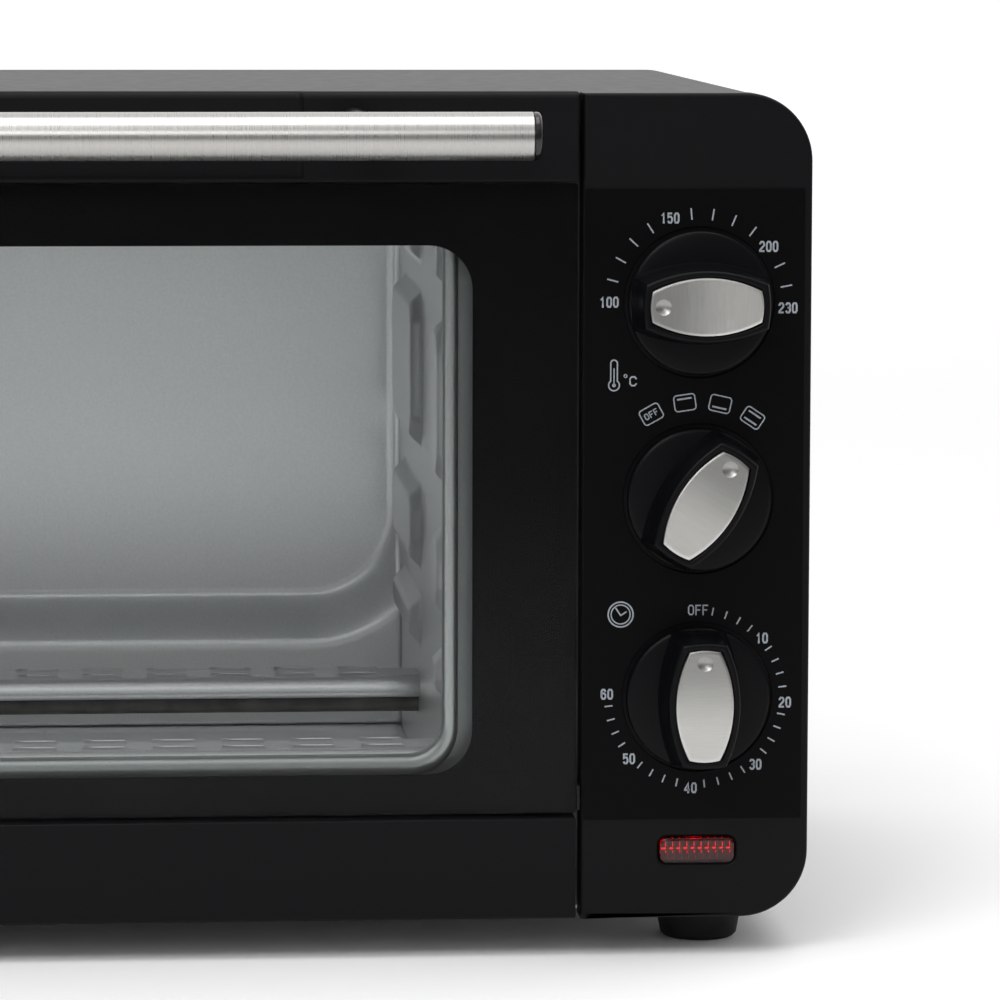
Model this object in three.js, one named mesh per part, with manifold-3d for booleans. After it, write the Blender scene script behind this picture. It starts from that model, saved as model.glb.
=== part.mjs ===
// A small countertop oven: a drop-down glass door with a bar handle on the left,
// a column of three rotary controls and an indicator lamp on the right.
// Millimetres. +X right, +Y back, +Z up. The origin is under the middle of the
// oven, at the height of the surface that the feet stand on.

import * as THREE from 'three';
import { mergeVertices } from 'three/addons/utils/BufferGeometryUtils.js';
import Module from 'manifold-3d';

const wasm = await Module();
wasm.setup();

// ---------------------------------------------------------------- driving dimensions

const WIDTH = 420;
const HALF = WIDTH / 2;
const BODY_TOP = 249;
const FOOT_HEIGHT = 11;
const CORNER = 19.5; // outer corner radius of the body, seen from the front
const SHEET = 1; // sheet metal
const GAP = 0.3; // between pieces that touch

// Depths, from the front: handle, door rail, glass and control plate, chassis, back.
const HALF_DEPTH = 160.75;
const FRONT = -120; // outer face of the glass and of the control plate
const TRIM_FRONT = FRONT + 0.4; // face of the plastic mouldings
const TRIM_BACK = -107.5;
const SHELL_FRONT = TRIM_BACK + GAP;
const SHELL_BACK = 148;
const CHASSIS_FRONT = -105.8;
const CHASSIS_BACK = CHASSIS_FRONT + 1.2;
const RIM_FRONT = CHASSIS_FRONT - 2;

// Door
const DOOR_LEFT = -188.7;
const DOOR_RIGHT = 142.7;
const DOOR_MIDDLE = (DOOR_LEFT + DOOR_RIGHT) / 2;
const DOOR_BOTTOM = 42;
const RAIL_BOTTOM = 223.7;
const RAIL_TOP = 249.6;
const RAIL_FRONT = FRONT - 2;
const RAIL_BACK = -108.2;
const GLASS_THICKNESS = 4;
const HINGE_Y = -117.2;
const HINGE_Z = 44.8;
const PIN_RADIUS = 1;
const PIN_LENGTH = 3.5;
const EAR = 0.7; // thickness of the hinge bracket's ear beside the glass

// Handle
const BAR_RADIUS = 6.75;
const BAR_Y = -HALF_DEPTH + BAR_RADIUS;
const BAR_Z = 238.1;
const BAR_HALF_LENGTH = 149.9;
const BAR_CAP = 1.8;
const POST_RADIUS = 4.8;
const POST_Z = 240.2;
const POST_OFFSET = 101.8;

// Control column
const PANEL_LEFT = 144.1;
const PILLAR_RIGHT = -190;
const PLATE = { left: 144.6, right: 207.8, bottom: 40, top: 221.9 };
const PLATE_THICKNESS = 0.8;
const KNOB_X = 177.5;
const KNOB_Z = [189.3, 132.9, 75.5];
const KNOB_TURN = [-90, 33, 0]; // pointer, clockwise from straight up
const KNOB_NAMES = ['temperature', 'function', 'timer'];
const DISC_RADIUS = 20.6;
const DISC_FRONT = FRONT - 3.8;
const GRIP_FRONT = FRONT - 19.8;
const GRIP = { length: 34.8, middle: 20.4, end: 12.4 };
const INSERT = { length: 31.2, middle: 16.5, end: 8.6 };
const INSERT_THICKNESS = 0.8;
const SHAFT_RADIUS = 3;
const LENS = { left: 167, right: 188.6, bottom: 27.1, top: 34.4 };

// Oven cavity, between the faces of its sheets
const CAVITY = { left: -154, right: 108, floor: 31, ceiling: 223, back: 130 };
const BULGE_DEPTH = 12;
const BULGE_SLOPE = 16;
const BULGE = { left: -151, right: 105, bottom: 74, top: 217, radius: 28 };
const MOUTH = { left: -151, right: 105, bottom: 57.2, top: 213, radius: 10 };
const MOUTH_RIM = 4;
const PAD_DEPTH = 3.8;
const PAD_ROWS = [[71, 86], [95.5, 122], [134, 182.5], [192, 216]];
const PAD_COLUMNS = [[-101, -70], [22, 122]];

// Heating rods
const ROD_RADIUS = 3.75;
const ROD_Y = { front: -84, rear: 46 };
const ROD_Z = { lower: 51.5, upper: 208 };
const ROD_OVERHANG = 8;
const FRONT_DROP = 3; // how far the lower front rod sits below the lower rear one

// ---------------------------------------------------------------- solids

// Merges shared vertices, drops collapsed triangles and turns the faces outwards.
function closed(geometry) {
  const bare = geometry.clone();
  bare.deleteAttribute('normal');
  bare.deleteAttribute('uv');
  const merged = mergeVertices(bare, 1e-4);
  const p = merged.attributes.position;
  const a = new THREE.Vector3();
  const b = new THREE.Vector3();
  const c = new THREE.Vector3();
  const kept = [];
  let volume = 0;
  for (let i = 0; i < merged.index.count; i += 3) {
    const [u, v, w] = [0, 1, 2].map((k) => merged.index.getX(i + k));
    if (u === v || v === w || w === u) continue;
    kept.push([u, v, w]);
    a.fromBufferAttribute(p, u);
    b.fromBufferAttribute(p, v);
    c.fromBufferAttribute(p, w);
    volume += a.dot(b.cross(c));
  }
  const faces = volume < 0 ? kept.map(([u, v, w]) => [u, w, v]) : kept;
  merged.setIndex(faces.flat());
  return merged;
}

function toSolid(geometry) {
  const mesh = closed(geometry);
  return new wasm.Manifold(new wasm.Mesh({
    numProp: 3,
    vertProperties: new Float32Array(mesh.attributes.position.array),
    triVerts: new Uint32Array(mesh.index.array),
  }));
}

function toGeometry(solid) {
  const mesh = solid.getMesh();
  const geometry = new THREE.BufferGeometry();
  geometry.setAttribute('position', new THREE.BufferAttribute(mesh.vertProperties, 3));
  geometry.setIndex(new THREE.BufferAttribute(mesh.triVerts, 1));
  return geometry;
}

function join(...pieces) {
  return toGeometry(pieces.map(toSolid).reduce((sum, solid) => sum.add(solid)));
}

function cut(body, ...tools) {
  return toGeometry(tools.reduce((rest, tool) => rest.subtract(toSolid(tool)), toSolid(body)));
}

function common(a, b) {
  return toGeometry(toSolid(a).intersect(toSolid(b)));
}

function box(x0, x1, y0, y1, z0, z1) {
  const geometry = new THREE.BoxGeometry(x1 - x0, y1 - y0, z1 - z0);
  return geometry.translate((x0 + x1) / 2, (y0 + y1) / 2, (z0 + z1) / 2);
}

// ---------------------------------------------------------------- outlines

const point = (x, y) => new THREE.Vector2(x, y);

function arc(cx, cy, radius, fromDegrees, toDegrees, steps) {
  const points = [];
  for (let i = 0; i <= steps; i += 1) {
    const angle = THREE.MathUtils.degToRad(fromDegrees + ((toDegrees - fromDegrees) * i) / steps);
    points.push(point(cx + radius * Math.cos(angle), cy + radius * Math.sin(angle)));
  }
  return points;
}

const circle = (cx, cy, radius, steps) => arc(cx, cy, radius, 0, 360, steps).slice(1);

function rectangle(x0, x1, y0, y1) {
  return [point(x0, y0), point(x1, y0), point(x1, y1), point(x0, y1)];
}

function roundedRectangle(x0, x1, y0, y1, radius, steps = 5) {
  return [
    ...arc(x1 - radius, y0 + radius, radius, -90, 0, steps),
    ...arc(x1 - radius, y1 - radius, radius, 0, 90, steps),
    ...arc(x0 + radius, y1 - radius, radius, 90, 180, steps),
    ...arc(x0 + radius, y0 + radius, radius, 180, 270, steps),
  ];
}

// The body's front outline, moved in by a margin; the corners keep their centres.
function bodyOutline(inset) {
  return roundedRectangle(-HALF + inset, HALF - inset, FOOT_HEIGHT + inset, BODY_TOP - inset,
    CORNER - inset, 7);
}

// A barrel: two bulging long sides and two short, slightly bulging ends.
function barrel({ length, middle, end }) {
  const steps = 8;
  const sag = (middle - end) / 2;
  const radius = ((length / 2) ** 2 + sag ** 2) / (2 * sag);
  const half = THREE.MathUtils.radToDeg(Math.asin(length / 2 / radius));
  const right = arc(middle / 2 - radius, 0, radius, -half, half, steps);
  const left = right.map((p) => point(-p.x, -p.y));
  const tip = (sign) => [point(0, sign * (length / 2 + length / 60))];
  return [...right, ...tip(1), ...left, ...tip(-1)];
}

function shapeOf(outline, holes = []) {
  const shape = new THREE.Shape(outline);
  holes.forEach((hole) => shape.holes.push(new THREE.Path(hole)));
  return shape;
}

function extrude(outline, holes, depth) {
  return new THREE.ExtrudeGeometry(shapeOf(outline, holes), { depth, bevelEnabled: false });
}

// An outline drawn as seen from the front, in X and Z, made solid from y0 back to y1.
function facing(outline, y0, y1, holes = []) {
  return extrude(outline, holes, y1 - y0).rotateX(Math.PI / 2).translate(0, y1, 0);
}

// An outline drawn in Y and Z, made solid from x0 to x1.
function across(outline, x0, x1) {
  const basis = new THREE.Matrix4().makeBasis(
    new THREE.Vector3(0, 1, 0), new THREE.Vector3(0, 0, 1), new THREE.Vector3(1, 0, 0));
  return extrude(outline, [], x1 - x0).applyMatrix4(basis).translate(x0, 0, 0);
}

// An outline drawn in X and Y, made solid from z0 up to z1.
function upright(outline, z0, z1, holes = []) {
  return extrude(outline, holes, z1 - z0).translate(0, 0, z0);
}

// Cylinders along each axis.
function rodX(x0, x1, y, z, radius, sides) {
  return across(circle(y, z, radius, sides), x0, x1);
}

function rodY(y0, y1, x, z, radius, sides) {
  return facing(circle(x, z, radius, sides), y0, y1);
}

// A solid of revolution about an axis along Y through (x, z); the profile is [radius, y].
function turned(profile, x, z, sides) {
  const points = profile.map(([radius, y]) => point(radius, y));
  return closed(new THREE.LatheGeometry(points, sides).translate(x, 0, z));
}

// A solid between two outlines with equal numbers of points, in parallel planes.
// place turns (u, v, height) into a Vector3.
function loft(lowOutline, highOutline, low, high, place) {
  const count = lowOutline.length;
  const positions = [];
  const push = (p, h) => positions.push(...place(p.x, p.y, h).toArray());
  const lowFaces = THREE.ShapeUtils.triangulateShape(lowOutline, []);
  for (const [i, j, k] of lowFaces) [k, j, i].forEach((n) => push(lowOutline[n], low));
  for (const [i, j, k] of lowFaces) [i, j, k].forEach((n) => push(highOutline[n], high));
  for (let i = 0; i < count; i += 1) {
    const next = (i + 1) % count;
    push(lowOutline[i], low);
    push(lowOutline[next], low);
    push(highOutline[next], high);
    push(lowOutline[i], low);
    push(highOutline[next], high);
    push(highOutline[i], high);
  }
  const geometry = new THREE.BufferGeometry();
  geometry.setAttribute('position', new THREE.Float32BufferAttribute(positions, 3));
  return closed(geometry);
}

// ---------------------------------------------------------------- materials

function material(color, roughness, metalness) {
  return new THREE.MeshStandardMaterial({ color, roughness, metalness });
}

const BLACK_MOULDING = material('#17181a', 0.45, 0);
const PAINTED_STEEL = material('#1b1b1d', 0.5, 0.2);
const GALVANISED = material('#a9acab', 0.35, 0.9);
const BRUSHED_STEEL = material('#b9b4ac', 0.3, 1);
const HEATER_SHEATH = material('#8a8780', 0.5, 0.8);
const RUBBER = material('#101010', 0.9, 0);
const SWITCH_PLASTIC = material('#d9d4c8', 0.6, 0);
const RED_LENS = material('#8c0c10', 0.15, 0);
const GLASS = new THREE.MeshStandardMaterial({
  color: '#cfd8d4', roughness: 0.05, metalness: 0, transparent: true, opacity: 0.3,
});

// ---------------------------------------------------------------- assembly

const oven = new THREE.Group();

function add(name, geometry, look, parent = oven) {
  const mesh = new THREE.Mesh(geometry, look);
  mesh.name = name;
  parent.add(mesh);
  return mesh;
}

// Evenly spaced values, centred on a middle.
function spread(middle, count, pitch) {
  return Array.from({ length: count }, (_, i) => middle + (i - (count - 1) / 2) * pitch);
}

// ---------------------------------------------------------------- outer body

const SHELL_INSET = GAP; // the shell lies a little inside the mouldings
const PANEL_INSET = SHELL_INSET + SHEET + GAP; // sheets that fit inside the shell

// Top and sides, bent from one sheet, with cooling slots beside the controls.
function wrapCover() {
  const outer = bodyOutline(SHELL_INSET);
  const inner = bodyOutline(SHELL_INSET + SHEET);
  const tube = facing(outer, SHELL_FRONT, SHELL_BACK, [inner]);
  const belly = box(-HALF + CORNER, HALF - CORNER, SHELL_FRONT - 1, SHELL_BACK + 1, 0, 40);
  const slots = spread(40, 10, 10).map((y) => box(HALF - 4, HALF + 4, y - 1.7, y + 1.7, 160, 190));
  add('wrap_cover', cut(tube, belly, ...slots), PAINTED_STEEL);
}

const SCREWS = [[-196, 36], [196, 36], [-196, 224], [196, 224]];
const SCREW_RADIUS = 1.8;
const GLAND = { x: 165, z: 36, radius: 7 };
const REAR_FRONT = SHELL_BACK - 1.5;
const REAR_BACK = REAR_FRONT + 1.2;

function rearPanel() {
  const slots = [];
  for (const z of [70, 82, 94, 106, 118, 130]) {
    for (const x of [-60, 0, 60]) {
      slots.push(roundedRectangle(x - 22, x + 22, z - 1.8, z + 1.8, 1.5, 1));
    }
  }
  const screwHoles = SCREWS.map(([x, z]) => circle(x, z, SCREW_RADIUS + GAP, 10));
  const glandHole = circle(GLAND.x, GLAND.z, GLAND.radius + GAP, 20);
  const holes = [...slots, ...screwHoles, glandHole];
  add('rear_panel', facing(bodyOutline(PANEL_INSET), REAR_FRONT, REAR_BACK, holes), PAINTED_STEEL);
}

function rearScrews() {
  const names = ['lower_left', 'lower_right', 'upper_left', 'upper_right'];
  SCREWS.forEach(([x, z], i) => {
    const head = REAR_BACK + GAP;
    const profile = [[0, 139], [SCREW_RADIUS, 139], [SCREW_RADIUS, head], [3.6, head],
      [3.4, head + 1.5], [2.2, head + 2.2], [0, head + 2.4]];
    add(`rear_screw_${names[i]}`, turned(profile, x, z, 12), GALVANISED);
  });
}

// Two bumpers that keep the back clear of a wall.
function rearSpacers() {
  const place = (u, v, h) => new THREE.Vector3(u, h, v);
  for (const [side, x] of [['left', -140], ['right', 140]]) {
    const low = roundedRectangle(x - 17, x + 17, 168, 192, 5, 3);
    const high = roundedRectangle(x - 13, x + 13, 172, 188, 4, 3);
    add(`rear_spacer_${side}`, loft(low, high, REAR_BACK + GAP, HALF_DEPTH, place), BLACK_MOULDING);
  }
}

// The cord's bush, with its bore open right through.
function cordGland() {
  const bore = 3.8;
  const { x, z, radius } = GLAND;
  const profile = [[bore, 141], [radius + 2, 141], [radius + 2, REAR_FRONT - GAP],
    [radius, REAR_FRONT - GAP], [radius, REAR_BACK + GAP], [radius + 2, REAR_BACK + GAP],
    [radius + 1.6, 152], [radius - 0.8, 158], [bore, 158], [bore, 141]];
  add('cord_gland', turned(profile, x, z, 20), BLACK_MOULDING);
}

const FEET = [[-182, -88, 'front_left'], [182, -88, 'front_right'],
  [-182, 122, 'rear_left'], [182, 122, 'rear_right']];

function basePlate() {
  const reach = HALF - CORNER - GAP;
  const slots = [];
  for (const x of [-110, 60]) {
    for (const y of spread(20, 6, 12)) {
      slots.push(roundedRectangle(x - 24, x + 24, y - 2, y + 2, 1.7, 1));
    }
  }
  const low = FOOT_HEIGHT + SHELL_INSET;
  const outline = rectangle(-reach, reach, CHASSIS_BACK + GAP, REAR_FRONT - GAP);
  add('base_plate', upright(outline, low, low + SHEET, slots), GALVANISED);
}

function feet() {
  const top = FOOT_HEIGHT + SHELL_INSET - GAP;
  for (const [x, y, name] of FEET) {
    const profile = [[0, 0], [10, 0], [11.5, 1.2], [13, top], [0, top]].map(([r, z]) => point(r, z));
    const foot = new THREE.LatheGeometry(profile, 20).rotateX(Math.PI / 2).translate(x, y, 0);
    add(`foot_${name}`, closed(foot), RUBBER);
  }
}

// ---------------------------------------------------------------- front mouldings

const WALL = 2.5;
const FACE_WALL = 3.2;
const SIDE_WALL = 3.3; // beside the door, deep enough for the hinge pins

const rightOf = (x) => rectangle(x, HALF + 10, 0, BODY_TOP + 10);
const leftOf = (x) => rectangle(-HALF - 10, x, 0, BODY_TOP + 10);

// A hollow moulding that follows the body's outline on one side of a cut.
function columnShell(outerSide, innerSide) {
  const outer = common(facing(bodyOutline(0), TRIM_FRONT, TRIM_BACK),
    facing(outerSide, TRIM_FRONT - 1, TRIM_BACK + 1));
  const inner = common(facing(bodyOutline(WALL), TRIM_FRONT + FACE_WALL, TRIM_BACK + 1),
    facing(innerSide, TRIM_FRONT - 1, TRIM_BACK + 2));
  return cut(outer, inner);
}

const HINGE_HOLE_RADIUS = PIN_RADIUS + 0.25;

function controlPanelFrame() {
  const shell = columnShell(rightOf(PANEL_LEFT), rightOf(PANEL_LEFT + SIDE_WALL));
  const recess = box(PLATE.left - 0.2, PLATE.right + 0.2, TRIM_FRONT - 1,
    FRONT + PLATE_THICKNESS + GAP, PLATE.bottom - 0.2, PLATE.top + 0.2);
  const shafts = KNOB_Z.map((z) => rodY(TRIM_FRONT - 1, TRIM_BACK + 1, KNOB_X, z,
    SHAFT_RADIUS + 1.2, 16));
  const lensHole = facing(roundedRectangle(LENS.left - GAP, LENS.right + GAP,
    LENS.bottom - GAP, LENS.top + GAP, 3.2, 4), TRIM_FRONT - 1, TRIM_BACK + 1);
  const pinHole = rodX(PANEL_LEFT - 1, PANEL_LEFT + SIDE_WALL + 0.6, HINGE_Y, HINGE_Z,
    HINGE_HOLE_RADIUS, 12);
  add('control_panel_frame', cut(shell, recess, ...shafts, lensHole, pinHole), BLACK_MOULDING);
}

function leftPillar() {
  const shell = columnShell(leftOf(PILLAR_RIGHT), leftOf(PILLAR_RIGHT - SIDE_WALL));
  const pinHole = rodX(PILLAR_RIGHT - SIDE_WALL - 0.6, PILLAR_RIGHT + 1, HINGE_Y, HINGE_Z,
    HINGE_HOLE_RADIUS, 12);
  add('left_pillar', cut(shell, pinHole), BLACK_MOULDING);
}

// The thin printed plate behind the knobs.
function controlPlate() {
  const outline = rectangle(PLATE.left, PLATE.right, PLATE.bottom, PLATE.top);
  const wells = KNOB_Z.map((z) => circle(KNOB_X, z, DISC_RADIUS + 1.1, 36));
  add('control_plate', facing(outline, FRONT, FRONT + PLATE_THICKNESS, wells), BLACK_MOULDING);
}

// The strip under the door, open at the back.
function bottomTrim() {
  const top = DOOR_BOTTOM - 1.5;
  const bottom = FOOT_HEIGHT;
  const back = TRIM_BACK - GAP;
  const outline = [point(TRIM_FRONT, bottom), point(back, bottom), point(back, bottom + WALL),
    point(TRIM_FRONT + WALL, bottom + WALL), point(TRIM_FRONT + WALL, top - WALL),
    point(back, top - WALL), point(back, top), point(TRIM_FRONT, top)];
  add('bottom_trim', across(outline, PILLAR_RIGHT + GAP, DOOR_RIGHT), BLACK_MOULDING);
}

function indicator() {
  const outline = roundedRectangle(LENS.left, LENS.right, LENS.bottom, LENS.top, 3, 4);
  add('indicator_lens', facing(outline, FRONT - 0.2, FRONT + 6), RED_LENS);
  const middle = (LENS.left + LENS.right) / 2;
  const level = (LENS.bottom + LENS.top) / 2;
  add('indicator_lamp', rodX(middle - 8, middle + 8, FRONT + 9.3, level, 2.6, 12), RED_LENS);
}

// ---------------------------------------------------------------- chassis and cavity

// The sheet behind the door, with a raised rim round the mouth of the cavity.
function frontPlate() {
  const { left, right, bottom, top, radius } = MOUTH;
  const mouth = roundedRectangle(left, right, bottom, top, radius, 6);
  const rim = roundedRectangle(left - MOUTH_RIM, right + MOUTH_RIM, bottom - MOUTH_RIM,
    top + MOUTH_RIM, radius + MOUTH_RIM, 6);
  const bushings = KNOB_Z.map((z) => circle(KNOB_X, z, 6.3, 16));
  const sheet = facing(bodyOutline(PANEL_INSET), CHASSIS_FRONT, CHASSIS_BACK, [mouth, ...bushings]);
  const raised = facing(rim, RIM_FRONT, CHASSIS_FRONT + 0.5, [mouth]);
  add('front_plate', join(sheet, raised), GALVANISED);
}

// A rectangle with its corners cut off.
function octagon(x0, x1, y0, y1, chamfer) {
  return [point(x0 + chamfer, y0), point(x1 - chamfer, y0), point(x1, y0 + chamfer),
    point(x1, y1 - chamfer), point(x1 - chamfer, y1), point(x0 + chamfer, y1),
    point(x0, y1 - chamfer), point(x0, y0 + chamfer)];
}

const WALL_FRONT = CHASSIS_BACK + GAP;
const WALL_BACK = CAVITY.back + BULGE_DEPTH;

// Each side wall has raised pads pressed into it; the channels between them carry shelves.
// inward is -1 on the right wall and +1 on the left one.
function sideWall(name, face, inward) {
  const outside = face - inward * SHEET;
  const sheet = box(Math.min(face, outside), Math.max(face, outside), WALL_FRONT, WALL_BACK,
    CAVITY.floor - SHEET, CAVITY.ceiling + SHEET);
  const slope = 4;
  const chamfer = 7;
  const place = (u, v, h) => new THREE.Vector3(face + inward * h, u, v);
  const raised = [];
  const hollows = [];
  for (const [y0, y1] of PAD_COLUMNS) {
    for (const [z0, z1] of PAD_ROWS) {
      const foot = octagon(y0, y1, z0, z1, chamfer);
      const crown = octagon(y0 + slope, y1 - slope, z0 + slope, z1 - slope, chamfer - 2);
      raised.push(loft(foot, crown, -SHEET / 2, PAD_DEPTH, place));
      hollows.push(loft(foot, crown, -SHEET - PAD_DEPTH, PAD_DEPTH - SHEET, place));
    }
  }
  const rods = [];
  for (const [row, y] of Object.entries(ROD_Y)) {
    for (const level of Object.keys(ROD_Z)) {
      rods.push(rodX(face - 12, face + 12, y, rodHeight(level, row), ROD_RADIUS + 1, 12));
    }
  }
  add(name, cut(join(sheet, ...raised), ...hollows, ...rods), GALVANISED);
}

// The back wall is pressed out backwards in a large rounded panel.
function cavityBack() {
  const { left, right, bottom, top, radius } = BULGE;
  const wide = roundedRectangle(left - BULGE_SLOPE, right + BULGE_SLOPE, bottom - BULGE_SLOPE,
    top + BULGE_SLOPE, radius + BULGE_SLOPE, 8);
  const flat = roundedRectangle(left, right, bottom, top, radius, 8);
  const place = (u, v, h) => new THREE.Vector3(u, h, v);
  const y = CAVITY.back;
  const pressed = loft(wide, flat, y, y + BULGE_DEPTH, place);
  const skin = join(box(-200, 200, y, y + SHEET, 0, 300), pressed.clone().translate(0, SHEET, 0));
  const inside = box(CAVITY.left + GAP, CAVITY.right - GAP, y - 1, y + 20,
    CAVITY.floor + GAP, CAVITY.ceiling - GAP);
  const above = pressed.clone().translate(0, -0.001, 0);
  add('cavity_back', common(cut(skin, above), inside), GALVANISED);
}

function ceilingAndFloor() {
  const left = CAVITY.left + GAP;
  const right = CAVITY.right - GAP;
  const { ceiling, floor } = CAVITY;
  add('cavity_ceiling', box(left, right, WALL_FRONT, WALL_BACK, ceiling, ceiling + SHEET),
    GALVANISED);
  add('cavity_floor', box(left, right, WALL_FRONT, WALL_BACK, floor - SHEET, floor), GALVANISED);
}

function rodHeight(level, row) {
  return ROD_Z[level] - (level === 'lower' && row === 'front' ? FRONT_DROP : 0);
}

function heaters() {
  for (const level of Object.keys(ROD_Z)) {
    for (const [row, y] of Object.entries(ROD_Y)) {
      const rod = rodX(CAVITY.left - ROD_OVERHANG, CAVITY.right + ROD_OVERHANG, y,
        rodHeight(level, row), ROD_RADIUS, 16);
      add(`heater_${level}_${row}`, rod, HEATER_SHEATH);
    }
  }
}

// Straps outside the side walls that carry the ends of two rods each.
function heaterBrackets() {
  const start = SHEET + 1.5;
  for (const [level, z] of Object.entries(ROD_Z)) {
    for (const [side, x] of [['left', CAVITY.left - start - 1.2], ['right', CAVITY.right + start]]) {
      const strap = across(roundedRectangle(ROD_Y.front - 12, ROD_Y.rear + 12, z - 10, z + 10, 7, 2),
        x, x + 1.2);
      const holes = Object.entries(ROD_Y).map(([row, y]) => rodX(x - 1, x + 3, y,
        rodHeight(level, row), ROD_RADIUS + 2 * GAP, 12));
      add(`heater_bracket_${level}_${side}`, cut(strap, ...holes), GALVANISED);
    }
  }
}

// Inverted channels over the lower rods, with two rows of slots along the top.
const COVER = { top: 60.3, lip: 54, half: 12, sheet: 0.8, shoulder: 4.5 };
const COVER_SLOT = { pitch: 20.25, length: 12, width: 2.4, row: 6.2 };

function heaterCovers() {
  const { top, lip, half, sheet, shoulder } = COVER;
  const outer = [...arc(half - shoulder, top - shoulder, shoulder, 0, 90, 4),
    ...arc(-half + shoulder, top - shoulder, shoulder, 90, 180, 4)];
  const inner = [...arc(-half + shoulder, top - shoulder, shoulder - sheet, 180, 90, 4),
    ...arc(half - shoulder, top - shoulder, shoulder - sheet, 90, 0, 4)];
  const profile = [point(half, lip), ...outer, point(-half, lip), point(-half + sheet, lip),
    ...inner, point(half - sheet, lip)];
  const { pitch, length, width, row } = COVER_SLOT;
  for (const [place, y] of Object.entries(ROD_Y)) {
    const channel = across(profile, CAVITY.left + GAP, CAVITY.right - GAP).translate(0, y, 0);
    const drop = place === 'front' ? FRONT_DROP : 0;
    const slots = [];
    for (const x of spread(DOOR_MIDDLE, 12, pitch)) {
      for (const dy of [-row, row]) {
        slots.push(box(x - length / 2, x + length / 2, y + dy - width / 2, y + dy + width / 2,
          top - 3, top + 1));
      }
    }
    add(`heater_cover_${place}`, cut(channel, ...slots).translate(0, 0, -drop), GALVANISED);
  }
}

// A baffle between the cavity and the controls.
function heatShield() {
  const x = 126;
  const sheet = box(x, x + SHEET, WALL_FRONT, REAR_FRONT - GAP, 14, BODY_TOP - 4);
  const slots = spread(20, 7, 24).map((y) => box(x - 1, x + 2, y - 2, y + 2, 195, 225));
  add('heat_shield', cut(sheet, ...slots), GALVANISED);
}

// ---------------------------------------------------------------- controls

const MECHANISMS = [
  { name: 'thermostat', outline: (z) => rectangle(KNOB_X - 16, KNOB_X + 16, z - 12, z + 12), depth: 24 },
  { name: 'function_switch', outline: (z) => circle(KNOB_X, z, 17, 20), depth: 26 },
  { name: 'timer_mechanism', outline: (z) => roundedRectangle(KNOB_X - 21, KNOB_X + 21, z - 21, z + 21, 8, 3),
    depth: 38 },
];
const BUSHING_RADIUS = 5.8;
const BUSHING_FRONT = TRIM_FRONT + FACE_WALL + 2;
const SHAFT_BACK = -93;

function mechanisms() {
  MECHANISMS.forEach(({ name, outline, depth }, i) => {
    const z = KNOB_Z[i];
    const body = facing(outline(z), WALL_FRONT, WALL_FRONT + depth);
    const bushing = rodY(BUSHING_FRONT, WALL_FRONT + 1, KNOB_X, z, BUSHING_RADIUS, 16);
    const bore = rodY(BUSHING_FRONT - 1, SHAFT_BACK + 1, KNOB_X, z, SHAFT_RADIUS + 0.35, 16);
    add(name, cut(join(body, bushing), bore), SWITCH_PLASTIC);
  });
}

// A knob drawn round the origin with its pointer up, and its axis along Y.
function knobBody() {
  const back = FRONT + PLATE_THICKNESS - 0.1;
  const disc = turned([[0, back], [DISC_RADIUS, back], [DISC_RADIUS, DISC_FRONT + 1],
    [DISC_RADIUS - 1, DISC_FRONT], [0, DISC_FRONT]], 0, 0, 40);
  const flare = { length: GRIP.length + 1.6, middle: GRIP.middle + 3.2, end: GRIP.end + 1.6 };
  const place = (u, v, h) => new THREE.Vector3(u, h, v);
  const grip = loft(barrel(flare), barrel(GRIP), DISC_FRONT + 1, GRIP_FRONT, place);
  const pocket = facing(barrel({
    length: INSERT.length + 2 * GAP, middle: INSERT.middle + 2 * GAP, end: INSERT.end + 2 * GAP,
  }), GRIP_FRONT - 1, GRIP_FRONT + INSERT_THICKNESS + GAP);
  const bore = rodY(FRONT - 11, back + 1, 0, 0, SHAFT_RADIUS + GAP, 16);
  return cut(join(disc, grip), pocket, bore);
}

function knobs() {
  KNOB_NAMES.forEach((name, i) => {
    const knob = new THREE.Group();
    knob.position.set(KNOB_X, 0, KNOB_Z[i]);
    knob.rotation.y = THREE.MathUtils.degToRad(KNOB_TURN[i]);
    oven.add(knob);
    add(`knob_${name}`, knobBody(), BLACK_MOULDING, knob);
    const plate = facing(barrel(INSERT), GRIP_FRONT, GRIP_FRONT + INSERT_THICKNESS);
    add(`knob_${name}_insert`, plate, BRUSHED_STEEL, knob);
    add(`knob_${name}_shaft`, rodY(FRONT - 10.5, SHAFT_BACK, 0, 0, SHAFT_RADIUS, 16), GALVANISED,
      knob);
  });
}

// ---------------------------------------------------------------- door

const RECESS = { left: -110.5, right: 64.5, depth: 1.5 };

// The moulded top rail, open at the back, with a shallow recess behind the handle.
function doorRail() {
  const bevel = 2.2;
  const outline = [point(RAIL_FRONT, RAIL_BOTTOM), point(RAIL_BACK, RAIL_BOTTOM),
    point(RAIL_BACK, RAIL_TOP), point(RAIL_FRONT + bevel, RAIL_TOP),
    point(RAIL_FRONT, RAIL_TOP - bevel)];
  const block = across(outline, DOOR_LEFT, DOOR_RIGHT);
  const hollow = box(DOOR_LEFT + WALL, DOOR_RIGHT - WALL, RAIL_FRONT + 4, RAIL_BACK + 1,
    RAIL_BOTTOM + WALL, RAIL_TOP - WALL);
  const recess = box(RECESS.left, RECESS.right, RAIL_FRONT - 1, RAIL_FRONT + RECESS.depth,
    RAIL_BOTTOM + 1.2, RAIL_TOP + 1);
  add('door_rail', cut(block, hollow, recess), BLACK_MOULDING);
}

function doorGlass() {
  add('door_glass', box(DOOR_LEFT, DOOR_RIGHT, FRONT, FRONT + GLASS_THICKNESS, DOOR_BOTTOM,
    RAIL_BOTTOM - GAP), GLASS);
}

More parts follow.
